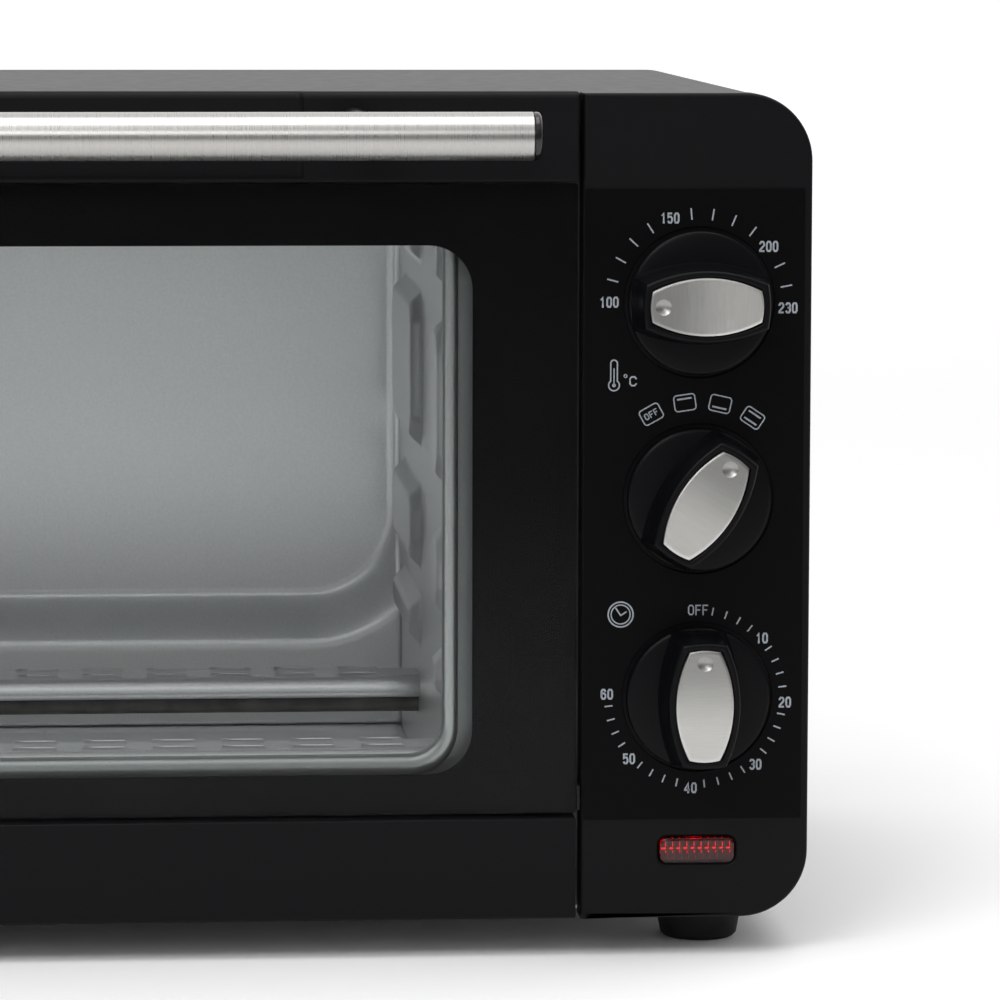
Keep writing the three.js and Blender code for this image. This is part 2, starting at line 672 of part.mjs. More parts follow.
// The frame behind the glass.
function doorInnerFrame() {
  const front = FRONT + GLASS_THICKNESS + GAP;
  const outline = rectangle(DOOR_LEFT + 3, DOOR_RIGHT - 3, 50.5, RAIL_BOTTOM - 2);
  const view = roundedRectangle(-161, 115, 52.5, 208, 14, 5);
  add('door_inner_frame', facing(outline, front, front + 5, [view]), BLACK_MOULDING);
}

// A steel bracket behind each lower corner of the glass. Its ear passes the edge of
// the glass and carries the hinge pin. outward is +1 on the right and -1 on the left.
function hingeBracket(name, edge, outward) {
  const reach = (from, to) => [edge + outward * from, edge + outward * to].sort((a, b) => a - b);
  const [footLeft, footRight] = reach(-24, GAP + EAR);
  const [earLeft, earRight] = reach(GAP, GAP + EAR);
  const [pinLeft, pinRight] = reach(GAP, GAP + EAR + PIN_LENGTH);
  const front = FRONT + GLASS_THICKNESS + GAP;
  const foot = box(footLeft, footRight, front, front + 2.2, HINGE_Z - 1, 49.8);
  const ear = box(earLeft, earRight, HINGE_Y - 2, front + 2.2, HINGE_Z - 2, 49.8);
  const pin = rodX(pinLeft, pinRight, HINGE_Y, HINGE_Z, PIN_RADIUS, 12);
  add(name, join(foot, ear, pin), GALVANISED);
}

function handle() {
  const left = DOOR_MIDDLE - BAR_HALF_LENGTH;
  const right = DOOR_MIDDLE + BAR_HALF_LENGTH;
  const tube = cut(rodX(left, right, BAR_Y, BAR_Z, BAR_RADIUS, 32),
    rodX(left - 1, right + 1, BAR_Y, BAR_Z, BAR_RADIUS - SHEET, 16));
  add('handle_bar', tube, BRUSHED_STEEL);
  for (const [side, end, outward] of [['left', left, -1], ['right', right, 1]]) {
    const profile = [[0, GAP], [BAR_RADIUS, GAP], [BAR_RADIUS, BAR_CAP], [BAR_RADIUS - 1.3, BAR_CAP + 0.7],
      [0, BAR_CAP + 0.8]].map(([radius, y]) => point(radius, y));
    const cap = new THREE.LatheGeometry(profile, 32).rotateZ(-outward * Math.PI / 2);
    add(`handle_cap_${side}`, closed(cap.translate(end, BAR_Y, BAR_Z)), BLACK_MOULDING);
    const post = rodY(BAR_Y + BAR_RADIUS + GAP, RAIL_FRONT - GAP,
      DOOR_MIDDLE + outward * POST_OFFSET, POST_Z, POST_RADIUS, 20);
    add(`handle_post_${side}`, post, BLACK_MOULDING);
  }
}

// ---------------------------------------------------------------- build

wrapCover();
rearPanel();
rearScrews();
rearSpacers();
cordGland();
basePlate();
feet();
controlPanelFrame();
leftPillar();
controlPlate();
bottomTrim();
indicator();
frontPlate();
sideWall('cavity_right_wall', CAVITY.right, -1);
sideWall('cavity_left_wall', CAVITY.left, 1);
cavityBack();
ceilingAndFloor();
heaters();
heaterBrackets();
heaterCovers();
heatShield();
mechanisms();
knobs();
doorRail();
doorGlass();
doorInnerFrame();
hingeBracket('hinge_bracket_right', DOOR_RIGHT, 1);
hingeBracket('hinge_bracket_left', DOOR_LEFT, -1);
handle();

export default oven;
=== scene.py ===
"""The looks of a small countertop oven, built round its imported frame.

Lengths are in millimetres until a mesh is made; MM turns them into Blender's metres.
X is right, Y is back, Z is up. Places come from the frame's own nodes.
"""

import math

import bmesh
import bpy
from mathutils import Matrix, Vector


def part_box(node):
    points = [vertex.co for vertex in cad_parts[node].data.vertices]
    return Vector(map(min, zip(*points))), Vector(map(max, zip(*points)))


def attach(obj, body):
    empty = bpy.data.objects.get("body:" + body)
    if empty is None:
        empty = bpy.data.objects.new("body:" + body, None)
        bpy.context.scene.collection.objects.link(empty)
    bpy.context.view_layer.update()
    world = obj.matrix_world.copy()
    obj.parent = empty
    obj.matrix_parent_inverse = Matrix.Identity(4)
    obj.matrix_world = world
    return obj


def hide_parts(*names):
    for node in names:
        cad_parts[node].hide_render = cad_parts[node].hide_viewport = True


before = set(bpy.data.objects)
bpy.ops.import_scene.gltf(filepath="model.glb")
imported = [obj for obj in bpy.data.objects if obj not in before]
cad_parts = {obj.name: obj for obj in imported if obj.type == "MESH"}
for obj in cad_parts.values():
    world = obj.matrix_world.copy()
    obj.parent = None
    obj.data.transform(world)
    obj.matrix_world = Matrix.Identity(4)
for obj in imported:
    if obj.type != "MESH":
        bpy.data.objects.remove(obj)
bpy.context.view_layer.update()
MM = 0.001


class Span:
    """A CAD node's box in millimetres."""

    def __init__(self, node):
        low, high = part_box(node)
        self.x0, self.y0, self.z0 = (value / MM for value in low)
        self.x1, self.y1, self.z1 = (value / MM for value in high)
        self.x, self.y, self.z = ((a + b) / 2 for a, b in
                                  ((self.x0, self.x1), (self.y0, self.y1), (self.z0, self.z1)))


PANEL = Span("control_panel_frame")
PILLAR = Span("left_pillar")
PLATE = Span("control_plate")
TRIM = Span("bottom_trim")
RAIL = Span("door_rail")
GLASS = Span("door_glass")
SHELL = Span("wrap_cover")
BAR = Span("handle_bar")
FRONT = PLATE.y0
CORNER = 19.5
HALF = PANEL.x1
TOP = PANEL.z1
BOTTOM = PANEL.z0

# ---- camera and studio

CAMERA_DISTANCE = 1500  # in front of the control plate
CAMERA_HEIGHT = TOP + 45.5
CAMERA_YAW = math.radians(4.592)  # to the right
CAMERA_PITCH = math.radians(6.129)  # down
CAMERA_ROLL = 0.002
CAMERA_LENS = 190.5
SKY_OVERHEAD = (0.15, 0.85, 0.17, 0.8)  # from and to of the direction's Z, then of the brightness
SKY_BEHIND = (-0.2, 0.6, 0.17, 1.2)  # the same for its Y
FLOOR_REACH = 30


def placed(name, data):
    """A new object, in the scene."""
    obj = bpy.data.objects.new(name, data)
    bpy.context.scene.collection.objects.link(obj)
    return obj


def add_camera():
    data = bpy.data.cameras.new("camera")
    data.lens = CAMERA_LENS
    data.sensor_width = 36
    data.clip_end = 100
    camera = placed("camera", data)
    turn = (Matrix.Rotation(-CAMERA_YAW, 4, "Z") @ Matrix.Rotation(math.pi / 2 - CAMERA_PITCH, 4, "X")
            @ Matrix.Rotation(CAMERA_ROLL, 4, "Z"))
    place = Matrix.Translation(Vector((0, FRONT - CAMERA_DISTANCE, CAMERA_HEIGHT)) * MM)
    camera.matrix_world = place @ turn
    bpy.context.scene.camera = camera


def add_softbox(name, place, aim, width, height, watts):
    data = bpy.data.lights.new(name, "AREA")
    data.shape = "RECTANGLE"
    data.size = width
    data.size_y = height
    data.energy = watts
    light = placed(name, data)
    light.location = place
    light.rotation_euler = (Vector(aim) - Vector(place)).to_track_quat("-Z", "Y").to_euler()
    light.visible_camera = False
    light.visible_transmission = False


def map_range(tree, source, limits, smooth=True):
    """Maps a value onto another range; limits are from low, from high, to low, to high."""
    node = tree.nodes.new("ShaderNodeMapRange")
    if smooth:
        node.interpolation_type = "SMOOTHSTEP"
    for socket, value in zip(("From Min", "From Max", "To Min", "To Max"), limits):
        node.inputs[socket].default_value = value
    tree.links.new(source, node.inputs["Value"])
    return node.outputs["Result"]


def add_sky():
    """A tent: bright overhead and behind, dim in front."""
    world = bpy.data.worlds.new("studio")
    bpy.context.scene.world = world
    world.use_nodes = True
    tree = world.node_tree
    where = tree.nodes.new("ShaderNodeTexCoord")
    split = tree.nodes.new("ShaderNodeSeparateXYZ")
    tree.links.new(where.outputs["Generated"], split.inputs[0])
    brighter = tree.nodes.new("ShaderNodeMath")
    brighter.operation = "MAXIMUM"
    tree.links.new(map_range(tree, split.outputs["Z"], SKY_OVERHEAD), brighter.inputs[0])
    tree.links.new(map_range(tree, split.outputs["Y"], SKY_BEHIND), brighter.inputs[1])
    tree.links.new(brighter.outputs["Value"], tree.nodes["Background"].inputs["Color"])


def add_studio():
    scene = bpy.context.scene
    scene.view_settings.view_transform = "Standard"
    scene.view_settings.look = "None"
    add_sky()
    add_softbox("overhead", (0.1, -0.35, 1.5), (0, -0.1, 0.1), 1.5, 0.9, 12)
    add_softbox("front_high", (-0.8, -1.5, 1.5), (0.0, 0.1, 0.12), 1.0, 0.7, 14)
    add_softbox("front_fill", (-0.25, -2.1, 0.95), (0.0, 0.1, 0.12), 1.0, 0.5, 5.5)
    mesh = bpy.data.meshes.new("floor")
    reach = FLOOR_REACH
    mesh.from_pydata([(-reach, -reach, 0), (reach, -reach, 0), (reach, reach, 0), (-reach, reach, 0)],
                     [], [(0, 1, 2, 3)])
    floor = placed("floor", mesh)
    mesh.materials.append(MATERIALS["floor"])


# ---- materials


class Look:
    """A Principled material with helpers for procedural detail in object space."""

    def __init__(self, name, colour, roughness, metallic=0.0, specular=0.5):
        self.material = bpy.data.materials.new(name)
        self.material.use_nodes = True
        self.tree = self.material.node_tree
        self.nodes = self.tree.nodes
        self.links = self.tree.links
        self.shader = self.nodes["Principled BSDF"]
        self.set("Base Color", (*colour, 1))
        self.set("Roughness", roughness)
        self.set("Metallic", metallic)
        self.set("Specular IOR Level", specular)
        self.colour = colour

    def set(self, socket, value):
        self.shader.inputs[socket].default_value = value

    def coordinates(self, scale=(1, 1, 1)):
        where = self.nodes.new("ShaderNodeTexCoord")
        stretch = self.nodes.new("ShaderNodeMapping")
        stretch.inputs["Scale"].default_value = scale
        self.links.new(where.outputs["Object"], stretch.inputs["Vector"])
        return stretch.outputs["Vector"]

    def noise(self, scale, detail=3, stretch=(1, 1, 1)):
        texture = self.nodes.new("ShaderNodeTexNoise")
        texture.inputs["Scale"].default_value = scale
        texture.inputs["Detail"].default_value = detail
        self.links.new(self.coordinates(stretch), texture.inputs["Vector"])
        return texture.outputs["Fac"]

    def along(self, axis):
        """The place along one of the object's axes, in metres."""
        split = self.nodes.new("ShaderNodeSeparateXYZ")
        self.links.new(self.coordinates(), split.inputs[0])
        return split.outputs[axis]

    def spread(self, fac, low, high):
        """Maps 0.3 to 0.7 of a texture onto low to high."""
        return map_range(self.tree, fac, (0.3, 0.7, low, high), smooth=False)

    def vary_roughness(self, fac, low, high):
        self.links.new(self.spread(fac, low, high), self.shader.inputs["Roughness"])

    def vary_colour(self, fac, low, high):
        """Scales the base colour by low to high, following a texture."""
        mix = self.nodes.new("ShaderNodeMix")
        mix.data_type = "RGBA"
        mix.inputs[6].default_value = (*(channel * low for channel in self.colour), 1)
        mix.inputs[7].default_value = (*(channel * high for channel in self.colour), 1)
        self.links.new(self.spread(fac, 0, 1), mix.inputs[0])
        self.links.new(mix.outputs[2], self.shader.inputs["Base Color"])

    def fade(self, axis, limits):
        """Multiplies a varied colour by a factor that changes along an axis."""
        shade = self.nodes.new("ShaderNodeMix")
        shade.data_type = "RGBA"
        shade.blend_type = "MULTIPLY"
        shade.inputs[0].default_value = 1
        base = self.shader.inputs["Base Color"]
        self.links.new(base.links[0].from_socket, shade.inputs[6])
        self.links.new(map_range(self.tree, self.along(axis), limits), shade.inputs[7])
        self.links.new(shade.outputs[2], base)

    def bump(self, fac, height):
        """height is the texture's full relief in millimetres."""
        node = self.nodes.new("ShaderNodeBump")
        node.inputs["Strength"].default_value = 1
        node.inputs["Distance"].default_value = height * MM
        self.links.new(fac, node.inputs["Height"])
        self.links.new(node.outputs["Normal"], self.shader.inputs["Normal"])


def textured(name, colour, roughness, gloss=None, shade=None, relief=None, **settings):
    """gloss and shade are a noise's scale and detail, then low and high; relief ends in a height."""
    look = Look(name, colour, roughness, **settings)
    if gloss:
        look.vary_roughness(look.noise(*gloss[:2]), *gloss[2:])
    if shade:
        look.vary_colour(look.noise(*shade[:2]), *shade[2:])
    if relief:
        look.bump(look.noise(*relief[:2]), relief[2])
    return look


def galvanised(name, colour, roughness):
    return textured(name, colour, roughness, (1200, 2, roughness - 0.012, roughness + 0.012),
                    (1400, 2, 0.95, 1.04), (14, 1, 0.12), metallic=0.85)


def brushed(name, stretch, colour, roughness, depth):
    look = Look(name, colour, roughness, metallic=1.0)
    lines = look.noise(1, 3, stretch)
    look.vary_roughness(lines, roughness - 0.03, roughness + 0.04)
    look.vary_colour(lines, 0.95, 1.04)
    look.bump(lines, depth)
    return look


def knob_plate():
    """Brushed steel with painted shade: its colour darkens towards its upper end."""
    look = brushed("brushed_insert_painted_shade", (160, 160, 5200), (0.58, 0.575, 0.555), 0.36, 0.0015)
    # Painted shade: the colour falls to 0.55 of itself towards the insert's upper end.
    look.fade("Z", (-8 * MM, 12 * MM, 1, 0.55))
    return look


def door_glass():
    look = Look("door_glass", (0.945, 0.965, 0.96), 0.0)
    look.set("Transmission Weight", 1.0)
    look.set("IOR", 1.12)
    return look


def red_lens():
    look = textured("red_lens", (0.55, 0.02, 0.025), 0.06, relief=(700, 2, 0.004))
    look.set("Transmission Weight", 1.0)
    look.set("IOR", 1.46)
    return look


def red_glint():
    # Painted highlight: the prisms' red reflections, made to glow though the lamp is off.
    look = textured("red_glint", (0.9, 0.01, 0.02), 0.25, shade=(900, 3, 0.8, 1.1))
    look.set("Emission Color", (1.0, 0.005, 0.015, 1))
    look.set("Emission Strength", 0.9)
    return look


def pale_floor():
    """Pale where the oven stands, darkened to grey in front of it as painted shade, and glowing faintly far
    behind as painted light.
    """
    look = Look("pale_floor", (0.86, 0.86, 0.86), 0.8, specular=0.1)
    back = look.along("Y")
    # Painted shade: the floor's colour falls from 0.88 to 0.22 towards the front, to keep reflections dark.
    shade = map_range(look.tree, back, (-1.6, -0.4, 0.22, 0.88))
    look.links.new(shade, look.shader.inputs["Base Color"])
    # Painted light: far behind the oven the floor glows by itself.
    glow = map_range(look.tree, back, (0.3, 3, 0, 0.3), smooth=False)
    look.links.new(glow, look.shader.inputs["Emission Strength"])
    look.set("Emission Color", (1, 1, 1, 1))
    return look


MATERIALS = {name: look.material for name, look in {
    "moulding": textured("moulded_black", (0.0040, 0.0042, 0.0048), 0.42, (200, 3, 0.40, 0.45),
        (400, 3, 0.94, 1.06), (5200, 2, 0.004), specular=0.10),
    "plate": textured("plate_black", (0.0018, 0.0018, 0.0020), 0.38, (200, 3, 0.36, 0.40),
        (400, 3, 0.94, 1.06), (7000, 2, 0.002), specular=0.06),
    "knob": textured("knob_black", (0.0026, 0.0028, 0.0034), 0.34, (300, 3, 0.32, 0.37),
        (500, 3, 0.94, 1.06), (6500, 2, 0.003), specular=0.1),
    "gloss": textured("gloss_black", (0.008, 0.008, 0.009), 0.14, (300, 3, 0.11, 0.18),
        relief=(900, 2, 0.003)),
    "powder": textured("powder_coat", (0.0070, 0.0072, 0.0078), 0.46, (200, 3, 0.44, 0.5),
        (500, 3, 0.94, 1.06), (1500, 3, 0.012), specular=0.2),
    "print": textured("glass_print", (0.0022, 0.0022, 0.0022), 0.4, shade=(30, 3, 0.85, 1.15),
        relief=(4000, 2, 0.0005), specular=0.05),
    # One galvanised steel in lit and shaded copies: the cavity's is lightened as painted light, and the
    # rim's and the front sheet's are darkened as painted shade.
    "cavity": galvanised("galvanised_cavity_painted_light", (0.77, 0.775, 0.78), 0.34),
    "painted_mid_shade_sheet": galvanised("galvanised_painted_mid_shade", (0.34, 0.355, 0.35), 0.3),
    "front_sheet": galvanised("galvanised_front_painted_shade", (0.165, 0.172, 0.172), 0.36),
    "chassis": galvanised("galvanised_chassis", (0.55, 0.56, 0.55), 0.45),
    "bar": brushed("brushed_bar", (4200, 60, 60), (0.45, 0.44, 0.425), 0.29, 0.0002),
    "insert": knob_plate(),
    "steel": brushed("turned_steel", (900, 900, 900), (0.6, 0.6, 0.6), 0.3, 0.004),
    "heater": textured("heater_tube", (0.10, 0.097, 0.09), 0.5, (200, 3, 0.42, 0.6),
        (120, 4, 0.6, 1.4), (2500, 3, 0.02), metallic=0.6),
    "rubber": textured("foot_rubber", (0.012, 0.012, 0.012), 0.8, shade=(200, 3, 0.8, 1.3),
        relief=(2200, 3, 0.03), specular=0.3),
    "ivory": textured("ivory_plastic", (0.55, 0.5, 0.42), 0.5, shade=(60, 3, 0.92, 1.06),
        relief=(3000, 2, 0.01)),
    "ink": textured("legend_ink", (0.30, 0.325, 0.36), 0.55, shade=(900, 3, 0.85, 1.1), specular=0.3),
    "glass": door_glass(),
    "lens": red_lens(),
    "rib": textured("red_rib", (0.05, 0.006, 0.006), 0.3, shade=(400, 3, 0.8, 1.2),
        relief=(1500, 2, 0.004)),
    "painted_glint": red_glint(),
    "floor": pale_floor(),
}.items()}

# ---- mesh tools


def arc(cx, cz, radius, start, end, steps):
    """Points on an arc, in degrees, both ends included."""
    turns = [math.radians(start + (end - start) * i / steps) for i in range(steps + 1)]
    return [(cx + radius * math.cos(t), cz + radius * math.sin(t)) for t in turns]


def circle(cx, cz, radius, steps=64):
    return arc(cx, cz, radius, 0, 360, steps)[:-1]


def rounded(x0, x1, z0, z1, radius, steps=8):
    """A rounded rectangle, or with one radius for each corner: lower right, then round."""
    radii = radius if isinstance(radius, (tuple, list)) else (radius,) * 4
    corners = [(x1, z0, -90), (x1, z1, 0), (x0, z1, 90), (x0, z0, 180)]
    points = []
    for (x, z, start), r in zip(corners, radii):
        cx = x - r if x == x1 else x + r
        cz = z - r if z == z1 else z + r
        points += arc(cx, cz, r, start, start + 90, steps if r > 0.05 else 1)
    return points


def barrel(length, middle, end, steps=20):
    """Two bulging long sides and two nearly straight ends; long along Z."""
    sag = (middle - end) / 2
    radius = ((length / 2) ** 2 + sag ** 2) / (2 * sag)
    half = math.degrees(math.asin(length / 2 / radius))
    right = arc(middle / 2 - radius, 0, radius, -half, half, steps)
    left = [(-x, -z) for x, z in right]

    def tip(sign):
        bulge = length * 0.018
        return [(sign * end / 2 * (1 - t / 4), sign * (length / 2 + bulge * (1 - (1 - t / 4) ** 2)))
                for t in (1, 2, 3, 4, 5, 6, 7)]

    return [*right, *tip(1), *left, *tip(-1)]


def weld(mesh, distance=2e-6):
    bm = bmesh.new()
    bm.from_mesh(mesh)
    bmesh.ops.remove_doubles(bm, verts=bm.verts, dist=distance)
    bmesh.ops.dissolve_degenerate(bm, edges=bm.edges, dist=1e-7)
    bmesh.ops.recalc_face_normals(bm, faces=bm.faces)
    bm.to_mesh(mesh)
    bm.free()
    return mesh


def mesh_of(points, faces):
    mesh = bpy.data.meshes.new("shape")
    mesh.from_pydata([Vector(p) * MM for p in points], [], faces)
    return weld(mesh)


def rings(loops, closed=False):
    """Joins loops of equal length into a skin. closed joins the last loop to the first."""
    count = len(loops[0])
    points = [p for loop in loops for p in loop]
    faces = []
    for k in range(len(loops) if closed else len(loops) - 1):
        a, b = k * count, (k + 1) % len(loops) * count
        for i in range(count):
            j = (i + 1) % count
            faces.append((a + i, a + j, b + j, b + i))
    if not closed:
        faces.append(tuple(reversed(range(count))))
        faces.append(tuple(range(len(points) - count, len(points))))
    return mesh_of(points, faces)


def layered(outline_at, layers, closed=False):
    """A skin over outlines in X and Z; each layer is what outline_at takes, and a Y."""
    return rings([[(x, y, z) for x, z in outline_at(inset)] for inset, y in layers], closed)


def lathe(profile, axis, centre, steps=64):
    """Turns a profile of (radius, distance) about an axis through centre."""
    loops = []
    for radius, along in profile:
        loop = []
        for u, v in circle(0, 0, max(radius, 0.001), steps):
            offset = {"X": (along, u, v), "Y": (u, along, v), "Z": (u, v, along)}[axis]
            loop.append(tuple(c + o for c, o in zip(centre, offset)))
        loops.append(loop)
    return loops


def turned(profile, axis, centre, steps=64, closed=False):
    return rings(lathe(profile, axis, centre, steps), closed=closed)


def evaluated(obj):
    """An object's mesh with its curve filled or its modifiers applied."""
    bpy.context.view_layer.update()
    depsgraph = bpy.context.evaluated_depsgraph_get()
    return bpy.data.meshes.new_from_object(obj.evaluated_get(depsgraph))


def curve_mesh(curve):
    obj = placed("outline", curve)
    mesh = evaluated(obj)
    bpy.data.objects.remove(obj)
    bpy.data.curves.remove(curve)
    return mesh


def solid(outline, holes, thickness, bevel):
    """An outline in its own plane, thickness deep, with its edges rounded."""
    curve = bpy.data.curves.new("outline", "CURVE")
    curve.dimensions = "2D"
    curve.fill_mode = "BOTH"
    curve.extrude = (thickness / 2 - bevel) * MM
    curve.bevel_depth = bevel * MM
    curve.bevel_resolution = 3
    curve.offset = -bevel * MM
    for loop in (outline, *(list(reversed(hole)) for hole in holes)):
        spline = curve.splines.new("POLY")
        spline.points.add(len(loop) - 1)
        for point, (u, v) in zip(spline.points, loop):
            point.co = (u * MM, v * MM, 0, 1)
        spline.use_cyclic_u = True
    return weld(curve_mesh(curve))


def facing(outline, y0, y1, bevel=0.3, holes=()):
    """A flat piece drawn from the front, in X and Z, from y0 back to y1."""
    mesh = solid(outline, holes, y1 - y0, bevel)
    mesh.transform(Matrix.Translation((0, (y0 + y1) / 2 * MM, 0)) @ Matrix.Rotation(math.pi / 2, 4, "X"))
    return mesh


def across(outline, x0, x1, bevel):
    """A long piece with its section drawn in Y and Z, from x0 to x1."""
    mesh = solid(outline, (), x1 - x0, bevel)
    turn = Matrix(((0, 0, 1, 0), (1, 0, 0, 0), (0, 1, 0, 0), (0, 0, 0, 1)))
    mesh.transform(Matrix.Translation(((x0 + x1) / 2 * MM, 0, 0)) @ turn)
    return mesh


def joined(*meshes):
    bm = bmesh.new()
    for mesh in meshes:
        bm.from_mesh(mesh)
    whole = bpy.data.meshes.new("joined")
    bm.to_mesh(whole)
    bm.free()
    return whole


def carved(mesh, *tools):
    """mesh with the closed tool meshes cut out of it."""
    target = placed("target", mesh)
    cutters = [placed("cutter", tool) for tool in tools]
    for cutter in cutters:
        modifier = target.modifiers.new("cut", "BOOLEAN")
        modifier.object = cutter
        modifier.operation = "DIFFERENCE"
        modifier.solver = "EXACT"
    result = evaluated(target)
    for obj in (target, *cutters):
        bpy.data.objects.remove(obj)
    return result


def block(x0, x1, y0, y1, z0, z1):
    loop = [(x0, y0), (x1, y0), (x1, y1), (x0, y1)]
    return rings([[(x, y, z) for x, y in loop] for z in (z0, z1)])


def steps_between(low, high, pitch):
    count = max(1, round((high - low) / pitch))
    return [low + (high - low) * i / count for i in range(count + 1)]


def grid(u_range, v_range, pitch, place, keep=None):
    """A surface over two ranges; keep(u, v) drops the cells that it refuses."""
    us, vs = steps_between(*u_range, pitch), steps_between(*v_range, pitch)
    points = [place(u, v) for u in us for v in vs]
    faces = []
    for i in range(len(us) - 1):
        for j in range(len(vs) - 1):
            if keep and not keep((us[i] + us[i + 1]) / 2, (vs[j] + vs[j + 1]) / 2):
                continue
            a = i * len(vs) + j
            faces.append((a, a + len(vs), a + len(vs) + 1, a + 1))
    return mesh_of(points, faces)


def piece(name, mesh, material, body, replaced=(), smooth=32, place=None):
    """Puts a mesh in the scene as part of the object."""
    mesh.name = name
    mesh.materials.clear()
    mesh.materials.append(MATERIALS[material])
    mesh.shade_smooth()
    mesh.set_sharp_from_angle(angle=math.radians(smooth))
    obj = placed(name, mesh)
    if smooth > 5:
        flatten = obj.modifiers.new("flat_faces", "WEIGHTED_NORMAL")
        flatten.keep_sharp = True
    if place is not None:
        obj.matrix_world = place
    bpy.context.view_layer.update()
    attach(obj, body)
    if replaced:
        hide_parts(*replaced)
    return obj


def thicken(obj, thickness):
    modifier = obj.modifiers.new("thickness", "SOLIDIFY")
    modifier.thickness = thickness * MM
    modifier.offset = 0


def dress(material, *nodes, bevel=None):
    """Gives CAD nodes that stay a material, and rounds their edges a little."""
    for node in nodes:
        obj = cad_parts[node]
        obj.data.materials.clear()
        obj.data.materials.append(MATERIALS[material])
        if bevel:
            modifier = obj.modifiers.new("edges", "BEVEL")
            modifier.width = bevel * MM
            modifier.segments = 2
            modifier.limit_method = "ANGLE"
            modifier.angle_limit = math.radians(40)


# ---- outer body

SHEET = 1.0
SIDE_VENTS = {"count": 10, "pitch": 10, "middle": 40, "z0": 160, "z1": 190, "half_width": 1.7}
REAR_VENTS = {"columns": (-60, 0, 60), "rows": (70, 82, 94, 106, 118, 130), "reach": 22, "half_width": 1.8}
GLAND_HOLE = 7.3


def body_outline(inset, x0=-HALF, x1=HALF):
    """The front outline between two cuts; a corner is round where it meets the body's side."""
    right = CORNER - inset if x1 == HALF else 0
    left = CORNER - inset if x0 == -HALF else 0
    x1 = x1 - inset if x1 == HALF else x1
    x0 = x0 + inset if x0 == -HALF else x0
    return rounded(x0, x1, BOTTOM + inset, TOP - inset, (right, right, left, left), 24)


def wrap_cover():
    inset = HALF - SHELL.x1
    outer = body_outline(inset)
    inner = body_outline(inset + SHEET)
    tube = facing(outer, SHELL.y0, SHELL.y1, 0.25, [inner])
    belly = block(-HALF + CORNER, HALF - CORNER, SHELL.y0 - 1, SHELL.y1 + 1, 0, 40)
    slots = []
    half = SIDE_VENTS["half_width"]
    for i in range(SIDE_VENTS["count"]):
        y = SIDE_VENTS["middle"] + (i - (SIDE_VENTS["count"] - 1) / 2) * SIDE_VENTS["pitch"]
        slot = rounded(y - half, y + half, SIDE_VENTS["z0"], SIDE_VENTS["z1"], half - 0.1, 6)
        slots.append(across(slot, HALF - 4, HALF + 4, 0.01))
    piece("shell", carved(tube, belly, *slots), "powder", "cabinet", ["wrap_cover"])


def rear():
    panel = Span("rear_panel")
    gland = Span("cord_gland")
    reach, half = REAR_VENTS["reach"], REAR_VENTS["half_width"]
    holes = [rounded(x - reach, x + reach, z - half, z + half, half - 0.05, 6)
             for z in REAR_VENTS["rows"] for x in REAR_VENTS["columns"]]
    holes.append(circle(gland.x, gland.z, GLAND_HOLE, 40))
    outline = body_outline(HALF - panel.x1)
    piece("back_panel", facing(outline, panel.y0, panel.y1, 0.2, holes), "powder", "cabinet",
          ["rear_panel"])
    profile = [(3.8, gland.y0), (9, gland.y0), (9, panel.y0 - 0.3), (7, panel.y0 - 0.3),
               (7, panel.y1 + 0.3), (8.6, panel.y1 + 0.3), (9, panel.y1 + 0.8), (8.8, 150.2),
               (7.9, 150.6), (7.9, 151.6), (8.5, 152), (8.2, 153.2), (7.3, 153.6), (7.3, 154.6),
               (7.8, 155), (7.4, 156.4), (6.6, 157.6), (5.6, 158), (4.4, 157.9), (3.8, 157.2)]
    piece("cord_bush", turned(profile, "Y", (gland.x, 0, gland.z), 48, closed=True), "rubber",
          "cabinet", ["cord_gland"])
    for level in ("lower", "upper"):
        for side in ("left", "right"):
            node = f"rear_screw_{level}_{side}"
            at = Span(node)
            head = panel.y1 + 0.05
            profile = [(0, at.y0), (1.7, at.y0), (1.7, head), (3.6, head), (3.6, head + 0.9),
                       (3.2, head + 1.7), (2.2, head + 2.3), (1.0, head + 2.55), (0, head + 2.6)]
            body = turned(profile, "Y", (at.x, 0, at.z), 32)
            cross = [block(at.x - a, at.x + a, head + 1.2, head + 4, at.z - b, at.z + b)
                     for a, b in ((2.0, 0.45), (0.45, 2.0))]
            piece(f"screw_{level}_{side}", carved(body, *cross), "steel", "cabinet",
                  [node])
    for side in ("left", "right"):
        at = Span(f"rear_spacer_{side}")

        def outline(inset):
            return rounded(at.x0 + inset, at.x1 - inset, at.z0 + inset, at.z1 - inset, 5 - inset / 2)

        layers = [(0, at.y0), (0.3, at.y0 + 0.6), (2.5, at.y1 - 2), (3.1, at.y1 - 0.6), (4.2, at.y1)]
        piece(f"wall_bumper_{side}", layered(outline, layers), "moulding", "cabinet",
              [f"rear_spacer_{side}"])


def underside():
    dress("chassis", "base_plate")
    for row in ("front", "rear"):
        for side in ("left", "right"):
            node = f"foot_{row}_{side}"
            at = Span(node)
            top = at.z1
            profile = [(0, 0.6), (6.5, 0.6), (7.2, 0), (9.6, 0), (10.4, 0.4), (11.2, 1.2),
                       (12.8, top - 1.5), (13, top - 0.6), (12.8, top), (0, top)]
            piece(f"rubber_{node}", turned(profile, "Z", (at.x, at.y, 0), 56), "rubber", "cabinet",
                  [node])


# ---- front mouldings

KNOBS = [("temperature", -90), ("function", 33), ("timer", 0)]
KNOB_AT = {name: Span(f"knob_{name}_shaft") for name, _ in KNOBS}
WELL_RADIUS = 21.7
SHAFT_HOLE = 4.2


